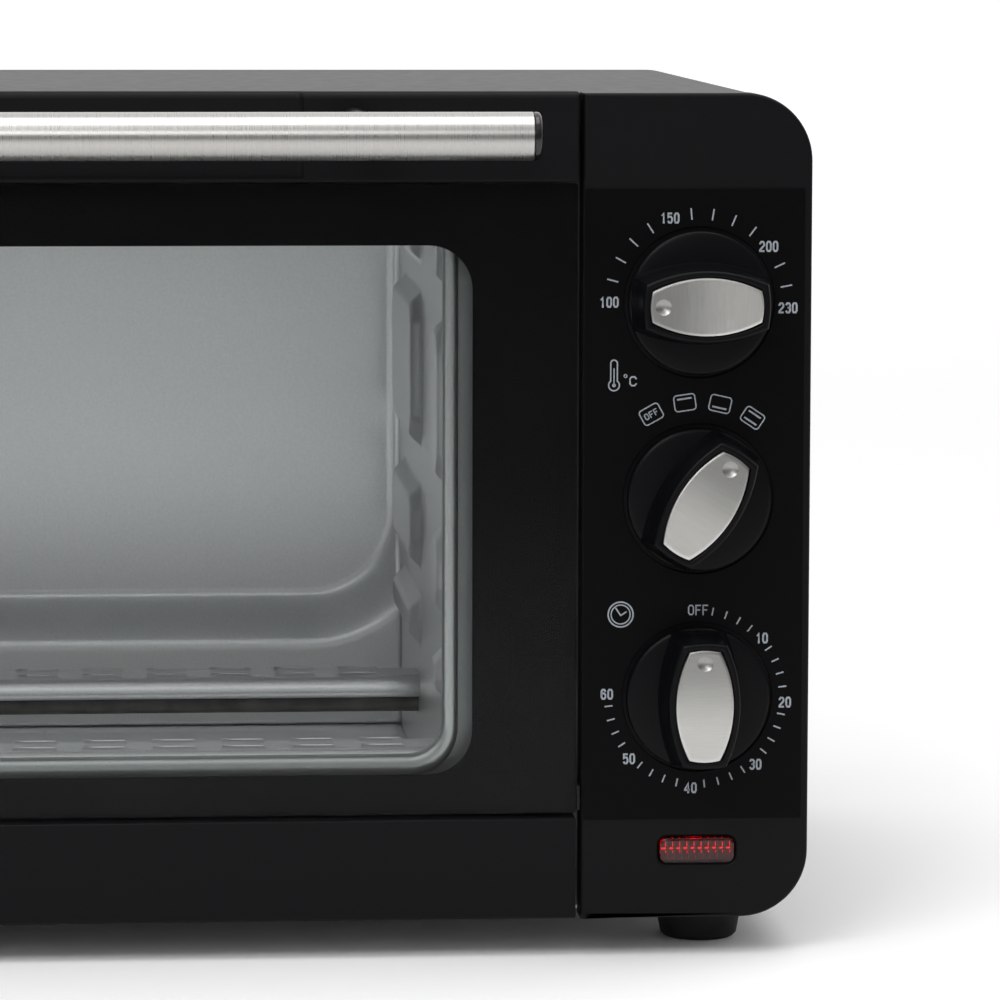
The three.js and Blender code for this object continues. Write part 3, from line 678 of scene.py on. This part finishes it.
def mouldings():
    lens = Span("indicator_lens")
    outline = body_outline(0, x0=PANEL.x0)
    wells = [circle(at.x, at.z, WELL_RADIUS, 72) for at in KNOB_AT.values()]
    window = rounded(lens.x0 - 0.3, lens.x1 + 0.3, lens.z0 - 0.3, lens.z1 + 0.3, 2.4, 10)
    front = facing(outline, PANEL.y0, PANEL.y1, 1.1, [*wells, window])
    shafts = [circle(at.x, at.z, SHAFT_HOLE, 24) for at in KNOB_AT.values()]
    floor = facing(rounded(PLATE.x0 + 1, PLATE.x1 - 3, PLATE.z0 + 4, PLATE.z1 - 4, 1),
                   FRONT + 1.1, FRONT + 2.2, 0.1, shafts)
    piece("control_housing", joined(front, floor), "moulding", "cabinet",
          ["control_panel_frame"])
    piece("left_post", facing(body_outline(0, x1=PILLAR.x1), PILLAR.y0, PILLAR.y1, 1.1),
          "moulding", "cabinet", ["left_pillar"])
    section = rounded(TRIM.y0, TRIM.y1, TRIM.z0, TRIM.z1, (0.4, 0.4, 0.7, 1.6), 6)
    piece("lower_trim", across(section, TRIM.x0, TRIM.x1, 0.5), "moulding", "cabinet",
          ["bottom_trim"])
    outline = rounded(PLATE.x0, PLATE.x1, PLATE.z0, PLATE.z1, 0.5, 4)
    piece("dial_plate", facing(outline, PLATE.y0, PANEL.y0 - 0.02, 0.12, wells), "plate", "cabinet",
          ["control_plate"])


def lozenge(x, z, width, height, y):
    """A pointed painted highlight that stands a little proud of y."""
    loop = [(x - width / 2, z), (x - width * 0.2, z - height / 2), (x + width * 0.2, z - height / 2),
            (x + width / 2, z), (x + width * 0.2, z + height / 2), (x - width * 0.2, z + height / 2)]
    tip = [(x + (u - x) * 0.4, z + (v - z) * 0.4) for u, v in loop]
    return rings([[(u, y + 0.42, v) for u, v in loop], [(u, y, v) for u, v in tip]])


PRISM_COUNT = 10
PRISM_PITCH = 2.07
PRISM_DEPTH = 2.6  # behind the lens's face


def indicator():
    at = Span("indicator_lens")

    def outline(inset):
        return rounded(at.x0 + inset, at.x1 - inset, at.z0 + inset, at.z1 - inset, 2.1 - inset, 10)

    layers = [(0.35, at.y1), (0, at.y1 - 0.3), (0, at.y0 + 0.5), (0.12, at.y0 + 0.22),
              (0.5, at.y0 + 0.02), (0.9, at.y0)]
    lens = piece("lens", layered(outline, layers), "lens", "cabinet", ["indicator_lens"])
    lens.visible_shadow = False
    # Painted highlights: a row of red dashes with strokes above and below, and a long one along the top,
    # standing for reflections in the prisms.
    painted_glints, backing = [], at.y0 + PRISM_DEPTH
    for i in range(PRISM_COUNT):
        x = at.x + (i - (PRISM_COUNT - 1) / 2) * PRISM_PITCH - 0.1
        level = at.z + 0.35
        painted_glints.append(lozenge(x, level, 1.6, 0.62, backing))
        painted_glints.append(lozenge(x + 0.45, level + 1.15, 0.32, 1.7, backing))
        painted_glints.append(lozenge(x + 0.5, level - 1.05, 0.3, 0.9, backing))
    painted_glints.append(lozenge(at.x - 0.6, at.z1 - 0.75, 5.4, 0.5, backing))
    piece("lens_painted_glints", joined(*painted_glints), "painted_glint", "cabinet", smooth=10)
    ribs = [block(at.x0 + 0.6, at.x1 - 0.6, backing + 0.4, backing + 1.6, at.z0 + 0.6, at.z1 - 0.6)]
    for i in range(PRISM_COUNT + 1):
        x = at.x + (i - PRISM_COUNT / 2) * PRISM_PITCH
        ribs.append(block(x - 0.18, x + 0.18, backing - 0.5, backing + 0.6, at.z0 + 0.8, at.z1 - 0.8))
    piece("lens_prisms", joined(*ribs), "rib", "cabinet", smooth=10)
    dress("rib", "indicator_lamp")


# ---- printed scales

INK_FRONT = FRONT - 0.03
INK_BACK = FRONT + 0.05
INK_LINE = 0.42
# A scale's middle is measured from its knob's axis; start and step are in degrees.
TEMPERATURES = {"middle": (-0.15, -0.2), "start": -89.2, "step": 1.403, "labels": 25.75, "ticks": 25.6}
FUNCTIONS = {"start": -29.2, "step": 21, "radius": 27.95, "width": 6.1, "height": 4.6}
MINUTES = {"middle": (-0.4, -0.1), "start": 1.9, "step": 4.53, "ticks": 25.3,
           "label_middle": (-0.3, -0.65), "labels": 25.85}


def ink_ribbon(points, width=INK_LINE, closed=False):
    """A stroke of even width along a polyline in X and Z."""
    path = [Vector(p) for p in points]
    loops = []
    for i, here in enumerate(path):
        before = path[i - 1] if i or closed else None
        after = path[(i + 1) % len(path)] if i + 1 < len(path) or closed else None
        into = (here - before).normalized() if before is not None else None
        out = (after - here).normalized() if after is not None else None
        along = ((into or out) + (out or into)).normalized()
        side = Vector((-along.y, along.x))
        edge = into or out
        reach = width / 2 / max(0.6, side.dot(Vector((-edge.y, edge.x))))
        left, right = here + side * reach, here - side * reach
        loops.append([(left.x, INK_FRONT, left.y), (right.x, INK_FRONT, right.y),
                      (right.x, INK_BACK, right.y), (left.x, INK_BACK, left.y)])
    return rings(loops, closed=closed)


def ink_line(x0, z0, x1, z1, width=INK_LINE):
    return ink_ribbon([(x0, z0), (x1, z1)], width)


def ink_band(outline_at, width=INK_LINE):
    """A closed line; outline_at(offset) is the outline moved outwards by offset."""
    return ink_ribbon(outline_at(0), width, closed=True)


BOWL = [(-1, -0.6), (-1, 0.6), (-0.5, 1), (0.5, 1), (1, 0.6), (1, -0.6), (0.5, -1), (-0.5, -1)]
GLYPHS = {  # strokes in a box from -1 to 1; a stroke that ends in None is closed
    "0": [[*BOWL, None]],
    "O": [[*BOWL, None]],
    "1": [[(-0.65, 0.45), (0.2, 1.0), (0.2, -1.18)]],
    "2": [[(-1, 0.45), (-1, 0.65), (-0.5, 1), (0.5, 1), (1, 0.65), (1, 0.25), (-1, -0.75), (-1, -1),
           (1.2, -1)]],
    "3": [[(-1, 0.6), (-0.5, 1), (0.5, 1), (1, 0.65), (1, 0.3), (0.6, 0.02), (1, -0.3), (1, -0.65),
           (0.5, -1), (-0.5, -1), (-1, -0.6)], [(-0.2, 0.02), (0.6, 0.02)]],
    "4": [[(0.5, -1.18), (0.5, 1.05), (-1.1, -0.3), (-1.1, -0.5), (1.25, -0.5)]],
    "5": [[(1.1, 1), (-0.85, 1), (-0.9, 0.12), (-0.4, 0.3), (0.5, 0.3), (1, -0.05), (1, -0.65),
           (0.5, -1), (-0.5, -1), (-1, -0.6)]],
    "6": [[(1, 0.55), (0.5, 1), (-0.5, 1), (-1, 0.6), (-1, -0.6), (-0.5, -1), (0.5, -1), (1, -0.6),
           (1, -0.15), (0.5, 0.18), (-0.5, 0.18), (-0.9, -0.1)]],
    "F": [[(-0.9, -1.18), (-0.9, 1), (1.15, 1)], [(-0.9, 0), (0.8, 0)]],
    "C": [[(1, 0.45), (0.95, 0.65), (0.5, 1), (-0.5, 1), (-1, 0.6), (-1, -0.6), (-0.5, -1), (0.5, -1),
           (0.95, -0.65), (1, -0.45)]],
}


def ink_text(text, x, z, width, height, turn=0.0, stroke=0.52):
    """Narrow bold characters, centred on a place and turned clockwise."""
    count = len(text)
    glyph = width / (count + 0.16 * (count - 1))
    turn = math.radians(turn)
    marks = []
    for i, character in enumerate(text):
        middle = (i - (count - 1) / 2) * glyph * 1.16
        for path in GLYPHS[character]:
            closed = path[-1] is None
            points = []
            for u, v in path[:-1] if closed else path:
                u = middle + u * (glyph - stroke) / 2
                v = v * (height - stroke) / 2
                points.append((x + u * math.cos(turn) + v * math.sin(turn),
                               z - u * math.sin(turn) + v * math.cos(turn)))
            marks.append(ink_ribbon(points, stroke, closed))
    return joined(*marks)


def beside(at, shift):
    return at.x + shift[0], at.z + shift[1]


def on_dial(middle, radius, degrees):
    turn = math.radians(degrees)
    return middle[0] + radius * math.sin(turn), middle[1] + radius * math.cos(turn)


def tick(middle, radius, length, degrees):
    inner = on_dial(middle, radius - length / 2, degrees)
    outer = on_dial(middle, radius + length / 2, degrees)
    return ink_line(*inner, *outer)


def temperature_scale():
    at = KNOB_AT["temperature"]
    middle = beside(at, TEMPERATURES["middle"])
    marks = []
    for value in range(100, 240, 10):
        angle = TEMPERATURES["start"] + (value - 100) * TEMPERATURES["step"]
        if value in (100, 150, 200, 230):
            marks.append(ink_text(str(value), *on_dial(middle, TEMPERATURES["labels"], angle), 5.5, 3.15))
        else:
            marks.append(tick(middle, TEMPERATURES["ticks"], 3.3, angle))
    x, z = beside(at, (-24.4, -20.8))
    stem, bulb, half_width = 8.8, 1.55, 0.95

    def thermometer(offset):
        radius = bulb + offset
        width = half_width + offset
        join = math.degrees(math.asin(width / radius))
        centre = z - stem / 2 + bulb
        lower = arc(x, centre, radius, -270 + join, 90 - join, 24)
        return [*lower, *arc(x, z + stem / 2 - half_width, width, 0, 180, 12)]

    marks.append(ink_band(thermometer, 0.38))
    marks.append(ink_line(x, z - stem / 2 + bulb, x, z + stem / 2 - 2.4, 0.34))
    marks.append(rings([[(u, y, v) for u, v in circle(x, z - stem / 2 + bulb, 0.55, 16)]
                        for y in (INK_FRONT, INK_BACK)]))
    marks.append(ink_band(lambda offset: circle(x + 3.3, z - 0.2, 0.42 + offset, 16), 0.26))
    marks.append(ink_text("C", x + 5.5, z - 1.7, 2.2, 2.9, stroke=0.42))
    return marks


def turned_box(x, z, degrees, width, height, radius):
    turn = math.radians(degrees)

    def outline(offset):
        loop = rounded(-width / 2 - offset, width / 2 + offset, -height / 2 - offset,
                       height / 2 + offset, radius + offset, 5)
        return [(x + u * math.cos(turn) + v * math.sin(turn), z - u * math.sin(turn) + v * math.cos(turn))
                for u, v in loop]

    return outline


def function_icons():
    at = KNOB_AT["function"]
    marks = []
    width, height = FUNCTIONS["width"], FUNCTIONS["height"]
    bars = [(), (1,), (-1,), (1, -1)]
    for i, lit in enumerate(bars):
        angle = FUNCTIONS["start"] + FUNCTIONS["step"] * i
        x, z = on_dial((at.x, at.z), FUNCTIONS["radius"], angle)
        marks.append(ink_band(turned_box(x, z, angle, width, height, 0.9), 0.36))
        right = Vector((math.cos(math.radians(angle)), -math.sin(math.radians(angle))))
        up = Vector((-right.y, right.x))
        for side in lit:
            middle = Vector((x, z)) + up * side * (height / 2 - 1.15)
            start, end = middle - right * 2.1, middle + right * 2.1
            marks.append(ink_line(*start, *end, 0.5))
        if not lit:
            marks.append(ink_text("OFF", x, z, 4.3, 1.9, turn=angle, stroke=0.32))
    return marks


def timer_scale():
    at = KNOB_AT["timer"]
    middle = beside(at, MINUTES["middle"])
    label_middle = beside(at, MINUTES["label_middle"])
    marks = []
    for minute in range(0, 62, 2):
        angle = MINUTES["start"] + minute * MINUTES["step"]
        if minute == 0:
            marks.append(ink_text("OFF", *on_dial(label_middle, 25.9, 1.1), 5.9, 3.0, stroke=0.38))
        elif minute % 10 == 0:
            marks.append(ink_text(str(minute), *on_dial(label_middle, MINUTES["labels"], angle), 3.6, 3.15))
        else:
            marks.append(tick(middle, MINUTES["ticks"], 2.3, angle))
    x, z = beside(at, (-22.2, 24.1))
    for radius, width in ((3.6, 0.42), (2.75, 0.36)):
        marks.append(ink_band(lambda offset, r=radius: circle(x, z, r + offset, 40), width))
    marks.append(ink_ribbon([(x - 1.5, z + 2.0), (x, z - 0.3), (x + 1.7, z + 0.8)], 0.4))
    return marks


def printed_scales():
    marks = [*temperature_scale(), *function_icons(), *timer_scale()]
    piece("dial_scales", joined(*marks), "ink", "cabinet", smooth=10)


# ---- knobs

DISC_RADIUS = 20.6
DISC_FRONT = FRONT - 3.8
GRIP = (34.8, 20.4, 12.6)
INSERT = (31.2, 16.6, 8.8)
DIMPLE = {"reach": 12.4, "radius": 2.3, "depth": 0.75}


def smaller(shape, inset):
    length, middle, end = shape
    return barrel(length - 2 * inset, middle - 2 * inset, end - 1.6 * inset)


def knobs():
    for name, pointer in KNOBS:
        grip_front = Span(f"knob_{name}").y0
        at = KNOB_AT[name]
        turn = Matrix.Rotation(math.radians(pointer), 4, "Y")
        place = Matrix.Translation((at.x * MM, 0, at.z * MM)) @ turn
        back = FRONT + 0.7
        profile = [(0, back), (DISC_RADIUS - 0.3, back), (DISC_RADIUS, back - 0.3),
                   (DISC_RADIUS, DISC_FRONT + 0.9), (DISC_RADIUS - 0.15, DISC_FRONT + 0.45),
                   (DISC_RADIUS - 0.5, DISC_FRONT + 0.15), (DISC_RADIUS - 1.1, DISC_FRONT),
                   (DISC_RADIUS - 4, DISC_FRONT - 0.25), (8, DISC_FRONT - 0.6), (0, DISC_FRONT - 0.6)]
        disc = turned(profile, "Y", (0, 0, 0), 96)
        layers = [(-1.9, DISC_FRONT + 0.4), (-1.5, DISC_FRONT - 0.6), (-1.0, DISC_FRONT - 1.6),
                  (-0.75, DISC_FRONT - 3), (-0.3, grip_front + 2.2), (-0.1, grip_front + 0.9),
                  (0.1, grip_front + 0.35), (0.4, grip_front + 0.08), (0.75, grip_front),
                  (1.35, grip_front), (1.6, grip_front + 0.15), (1.65, grip_front + 0.5),
                  (1.65, grip_front + 1.2)]
        grip = layered(lambda inset: smaller(GRIP, inset), layers)
        piece(f"{name}_knob_body", joined(disc, grip), "knob", f"{name}_knob",
              [f"knob_{name}"], place=place)
        layers = [(inset, grip_front + y + 0.2) for inset, y in
                  ((0.1, 1.1), (0, 0.7), (0, -0.15), (0.12, -0.36), (0.4, -0.5), (0.9, -0.58))]
        face = layered(lambda inset: smaller(INSERT, inset), layers)
        ball = (DIMPLE["radius"] ** 2 + DIMPLE["depth"] ** 2) / (2 * DIMPLE["depth"])
        centre = (0, grip_front - 0.38 - ball + DIMPLE["depth"], DIMPLE["reach"])
        sweep = [math.radians(3 + 174 * i / 40) for i in range(41)]
        profile = [(ball * math.sin(t), -ball * math.cos(t)) for t in sweep]
        face = carved(face, turned(profile, "Y", centre, 48))
        piece(f"{name}_knob_plate", face, "insert", f"{name}_knob",
              [f"knob_{name}_insert"], place=place)
        dress("steel", f"knob_{name}_shaft")


# ---- cavity

CAVITY = {"left": -154, "right": 108, "floor": 31, "ceiling": 223, "back": 130}
BULGE = {"x0": -151, "x1": 105, "z0": 74, "z1": 217, "radius": 28, "slope": 16, "depth": 12}
MOUTH = (-151, 105, 57.2, 213)
MOUTH_RADIUS = 10
RIM_DROP = 1.4  # how much wider the rolled rim is along its lower edge
PAD_ROWS = ((71, 86), (95.5, 122), (134, 182.5), (192, 216))
PAD_COLUMNS = ((-101, -70), (22, 122))
PAD = {"depth": 3.8, "slope": 3.8, "chamfer": 8}
ROD_LEVELS = ("lower", "upper")
ROD_ROWS = ("front", "rear")
ROD_HOLE = 4.8
WALL_GRID = 1.3
BACK_GRID = 1.6
FLOOR_GRID = 3
WALL_SHEET = 0.8
FLOOR_SHEET = 0.7


def soft_ramp(t, softness=0.55):
    """Rises from 0 to 1, straight in the middle and eased at both ends."""
    t = min(max(t, 0), 1)
    return t + softness * (t * t * (3 - 2 * t) - t)


def depth_in_pad(u, v, column, row):
    """Distance inside a chamfered rectangle."""
    left, right = u - column[0], column[1] - u
    low, high = v - row[0], row[1] - v
    cut = PAD["chamfer"]
    corners = [(a + b - cut) / math.sqrt(2) for a in (left, right) for b in (low, high)]
    return min(left, right, low, high, *corners)


def pad_height(y, z):
    deepest = max(depth_in_pad(y, z, column, row) for column in PAD_COLUMNS for row in PAD_ROWS)
    return PAD["depth"] * soft_ramp(deepest / PAD["slope"], 0.25)


def depth_in_rounded(u, v, x0, x1, z0, z1, radius):
    """Distance inside a rounded rectangle."""
    cx = min(max(u, x0 + radius), x1 - radius)
    cz = min(max(v, z0 + radius), z1 - radius)
    if (u, v) == (cx, cz):
        return min(u - x0, x1 - u, v - z0, z1 - v)
    return radius - math.hypot(u - cx, v - cz)


def bulge_height(x, z):
    slope = BULGE["slope"]
    inside = depth_in_rounded(x, z, BULGE["x0"] - slope, BULGE["x1"] + slope, BULGE["z0"] - slope,
                              BULGE["z1"] + slope, BULGE["radius"] + slope)
    return BULGE["depth"] * soft_ramp(inside / slope, 0.16)


def cavity_walls():
    rods = [(Span(f"heater_{level}_{row}").y, Span(f"heater_{level}_{row}").z)
            for level in ROD_LEVELS for row in ROD_ROWS]
    for side, inward in (("left", 1), ("right", -1)):
        node = f"cavity_{side}_wall"
        at = Span(node)
        face = CAVITY[side]

        def place(y, z):
            return face + inward * pad_height(y, z), y, z

        mesh = grid((at.y0, at.y1), (at.z0, at.z1), WALL_GRID, place,
                    lambda y, z: all(math.hypot(y - a, z - b) > ROD_HOLE for a, b in rods))
        # The walls use the lightened copy of galvanised steel, as painted light.
        wall = piece(f"side_wall_{side}", mesh, "cavity", "cabinet", [node], 60)
        thicken(wall, WALL_SHEET)
    at = Span("cavity_back")
    mesh = grid((at.x0, at.x1), (at.z0, at.z1), BACK_GRID,
                lambda x, z: (x, CAVITY["back"] + WALL_SHEET / 2 + bulge_height(x, z), z))
    wall = piece("back_wall", mesh, "cavity", "cabinet", ["cavity_back"], 60)
    thicken(wall, WALL_SHEET)
    for name, rise in (("floor", 1), ("ceiling", -1)):
        node, level = f"cavity_{name}", CAVITY[name]
        at = Span(node)

        def pressed(x, y):
            inside = depth_in_rounded(x, y, at.x0 + 14, at.x1 - 14, at.y0 + 14, at.y1 - 14, 18)
            return x, y, level - rise * (0.4 + 0.8 * soft_ramp(inside / 5))

        mesh = grid((at.x0, at.x1), (at.y0, at.y1), FLOOR_GRID, pressed)
        sheet = piece(f"pressed_{name}", mesh, "cavity", "cabinet",
                      [node], 60)
        thicken(sheet, FLOOR_SHEET)


def front_sheet():
    at = Span("front_plate")
    x0, x1, z0, z1 = MOUTH

    def mouth(offset):
        lower = z0 - offset * RIM_DROP
        return rounded(x0 - offset, x1 + offset, lower, z1 + offset, MOUTH_RADIUS + offset, 12)

    holes = [mouth(4.0), *(circle(k.x, k.z, 6.3, 32) for k in KNOB_AT.values())]
    back = at.y1
    face = back - 1.2
    sheet = facing(body_outline(HALF - at.x1), face, back, 0.2, holes)
    # The front sheet uses the darkest copy of galvanised steel, as painted shade, and the rim uses the
    # half-darkened one.
    piece("front_sheet", sheet, "front_sheet", "cabinet", ["front_plate"], 50)
    rim = at.y0
    outside = [(4.5, face + 0.5), (4.4, face - 0.3), (4.15, rim + 0.85), (3.7, rim + 0.38),
               (3.1, rim + 0.12), (2.3, rim), (1.5, rim + 0.1), (0.8, rim + 0.35), (0.25, rim + 0.85),
               (0, rim + 1.6)]
    inside = [(0, back + 2.4), (1.0, back + 2.4), (1.0, rim + 1.8), (3.4, rim + 1.4), (3.7, face + 0.5)]
    piece("mouth_rim", layered(mouth, outside + inside, closed=True), "painted_mid_shade_sheet", "cabinet",
          (), 50)


def heaters():
    for level in ROD_LEVELS:
        for row in ROD_ROWS:
            node = f"heater_{level}_{row}"
            at = Span(node)
            radius = (at.z1 - at.z0) / 2
            profile = [(0, at.x0), (radius * 0.5, at.x0), (radius * 0.5, at.x0 + 5), (radius, at.x0 + 5.2),
                       (radius, at.x1 - 5.2), (radius * 0.5, at.x1 - 5), (radius * 0.5, at.x1), (0, at.x1)]
            piece(f"rod_{level}_{row}", turned(profile, "X", (0, at.y, at.z), 32), "heater",
                  "cabinet", [node])


COVER_SHOULDER = 4.5
COVER_SLOT = {"pitch": 20.25, "length": 12, "width": 2.4, "row": 6.2, "count": 12}
COVER_LIP = 0.65
COVER_SHEET = 0.6


def heater_covers():
    half = COVER_SLOT["width"] / 2
    long = COVER_SLOT["length"] / 2
    middle = (CAVITY["left"] + CAVITY["right"]) / 2
    count = COVER_SLOT["count"]
    slots = [middle + (i - (count - 1) / 2) * COVER_SLOT["pitch"] for i in range(count)]
    for row in ROD_ROWS:
        node = f"heater_cover_{row}"
        at = Span(node)
        reach = (at.y1 - at.y0) / 2
        radius = COVER_SHOULDER
        rear = arc(reach - radius, at.z1 - radius, radius, 0, 90, 8)
        front = arc(-reach + radius, at.z1 - radius, radius, 90, 180, 8)
        edges = [side * COVER_SLOT["row"] + d for side in (1, -1) for d in
                 (half + 1.1, half, 0, -half, -half - 1.1)]
        section = [(reach, at.z0), *rear[:-1], *((y, at.z1) for y in edges), *front[1:], (-reach, at.z0)]
        us = sorted([at.x0, at.x1, *(x + s * (long + d) for x in slots for s in (-1, 1) for d in (0, 0.9)),
                     *(x + s * long * 0.5 for x in slots for s in (-1, 1))])

        def in_slot(x, index):
            y, z = section[index]
            across_slot = abs(abs(y) - COVER_SLOT["row"]) <= half + 0.01 and z > at.z1 - 0.01
            return across_slot and any(abs(x - s) <= long + 0.01 for s in slots)

        def place(x, index):
            y, z = section[index]
            lift = COVER_LIP if in_slot(x, index) and abs(abs(y) - COVER_SLOT["row"]) > 0.1 else 0
            return x, at.y + y, z + lift

        points = [place(x, i) for x in us for i in range(len(section))]
        faces = []
        wide = len(section)
        for a in range(len(us) - 1):
            for b in range(wide - 1):
                x = (us[a] + us[a + 1]) / 2
                if in_slot(x, b) and in_slot(x, b + 1):
                    continue
                k = a * wide + b
                faces.append((k, k + wide, k + wide + 1, k + 1))
        cover = piece(f"rod_cover_{row}", mesh_of(points, faces), "cavity", "cabinet",
                      [node], 40)
        thicken(cover, COVER_SHEET)


def inner_works():
    dress("painted_mid_shade_sheet", "heat_shield", *(f"heater_bracket_{level}_{side}" for level in ROD_LEVELS
                                           for side in ("left", "right")))
    dress("ivory", "thermostat", "function_switch")
    dress("steel", "timer_mechanism")


# ---- door

RECESS = {"left": -110.5, "right": 64.5, "depth": 1.5, "blend": 2.2}
WINDOW = (-158.8, 112.8, 53.2, 205.6)
WINDOW_RADIUS = 12.7
TUBE_WALL = 1


def recess_depth(x):
    """How far the rail's face is set back, with a concave step at each end."""
    inside = min(x - RECESS["left"], RECESS["right"] - x)
    if inside <= 0:
        return 0
    return RECESS["depth"] * (1 - (1 - min(inside / RECESS["blend"], 1)) ** 2.5)


def door_rail():
    bevel = 2.2
    low, top, face, back = RAIL.z0, RAIL.z1, RAIL.y0, RAIL.y1
    section = [(back, low, 0), (face + 1.2, low, 0), (face + 0.5, low + 0.1, 0),
               (face + 0.12, low + 0.35, 0), (face, low + 0.8, 0), (face, low + 1.15, 0),
               (face, low + 1.5, 1)]
    section += [(y, z, 1) for y, z in arc(face + bevel, top - bevel, bevel, 180, 90, 8)]
    section += [(face + 5, top, 0), (back + 0.4, top, 0), (back, top - 0.4, 0)]
    ends = [(RAIL.x0, 0.6), (RAIL.x0 + 0.18, 0.18), (RAIL.x0 + 0.6, 0)]
    mirrored = [(RAIL.x1 - 0.6, 0), (RAIL.x1 - 0.18, 0.18), (RAIL.x1, 0.6)]
    blend = [edge + sign * RECESS["blend"] * t
             for edge, sign in ((RECESS["left"], 1), (RECESS["right"], -1))
             for t in (-0.02, 0.02, 0.08, 0.16, 0.28, 0.42, 0.6, 0.8, 1)]
    stations = [*ends, *((x, 0) for x in sorted(blend)), *mirrored]
    loops = []
    for x, inset in stations:
        loop = []
        for y, z, mask in section:
            y += mask * recess_depth(x)
            y = min(max(y, face + inset), back - inset)
            z = min(max(z, low + inset), top - inset)
            loop.append((x, y, z))
        loops.append(loop)
    piece("rail", rings(loops), "moulding", "door", ["door_rail"], 40)


def door_pane():
    outline = rounded(GLASS.x0, GLASS.x1, GLASS.z0, GLASS.z1, 0.8, 4)
    pane = piece("pane", facing(outline, GLASS.y0, GLASS.y1 - 0.2, 0.35), "glass", "door",
                 ["door_glass"], smooth=1)
    pane.visible_shadow = False
    view = rounded(*WINDOW, WINDOW_RADIUS, 16)
    piece("pane_print", facing(outline, GLASS.y1 - 0.15, GLASS.y1 - 0.03, 0.02, [view]), "print", "door")
    dress("moulding", "door_inner_frame", bevel=0.6)
    # The hinge brackets are made black as painted shade, so the gap between door and panel stays dark.
    dress("powder", "hinge_bracket_left", "hinge_bracket_right", bevel=0.2)


def handle():
    radius = (BAR.z1 - BAR.z0) / 2
    y, z = BAR.y, BAR.z
    profile = [(radius - TUBE_WALL, BAR.x0 + 0.1), (radius - 0.25, BAR.x0), (radius, BAR.x0 + 0.25),
               (radius, BAR.x1 - 0.25), (radius - 0.25, BAR.x1), (radius - TUBE_WALL, BAR.x1 - 0.1)]
    piece("grip_bar", turned(profile, "X", (0, y, z), 96, closed=True), "bar", "door",
          ["handle_bar"])
    for side, end, outward in (("left", BAR.x0, -1), ("right", BAR.x1, 1)):
        plug = radius - TUBE_WALL - 0.2
        profile = [(0, -4), (plug, -4), (plug, 0.12), (radius - 0.15, 0.12),
                   (radius, 0.3), (radius, 1.0), (radius - 0.15, 1.5), (radius - 0.6, 1.95),
                   (radius - 1.3, 2.2), (radius - 3, 2.4), (0, 2.5)]
        cap = turned([(r, outward * d) for r, d in profile], "X", (end, y, z), 72)
        piece(f"bar_cap_{side}", cap, "gloss", "door", [f"handle_cap_{side}"])
        at = Span(f"handle_post_{side}")
        foot = at.y1
        sink = recess_depth(at.x)
        profile = [(0, y + radius * 0.6), (4.3, y + radius * 0.6), (4.4, foot - 6), (4.6, foot - 3),
                   (4.8, foot - 1.4), (5.0, foot + 0.2), (5.0, foot + 0.4 + sink), (0, foot + 0.4 + sink)]
        piece(f"post_{side}", turned(profile, "Y", (at.x, 0, at.z), 48), "moulding", "door",
              [f"handle_post_{side}"])


# ---- build

add_camera()
add_studio()
wrap_cover()
rear()
underside()
mouldings()
indicator()
printed_scales()
knobs()
cavity_walls()
front_sheet()
heaters()
heater_covers()
inner_works()
door_rail()
door_pane()
handle()
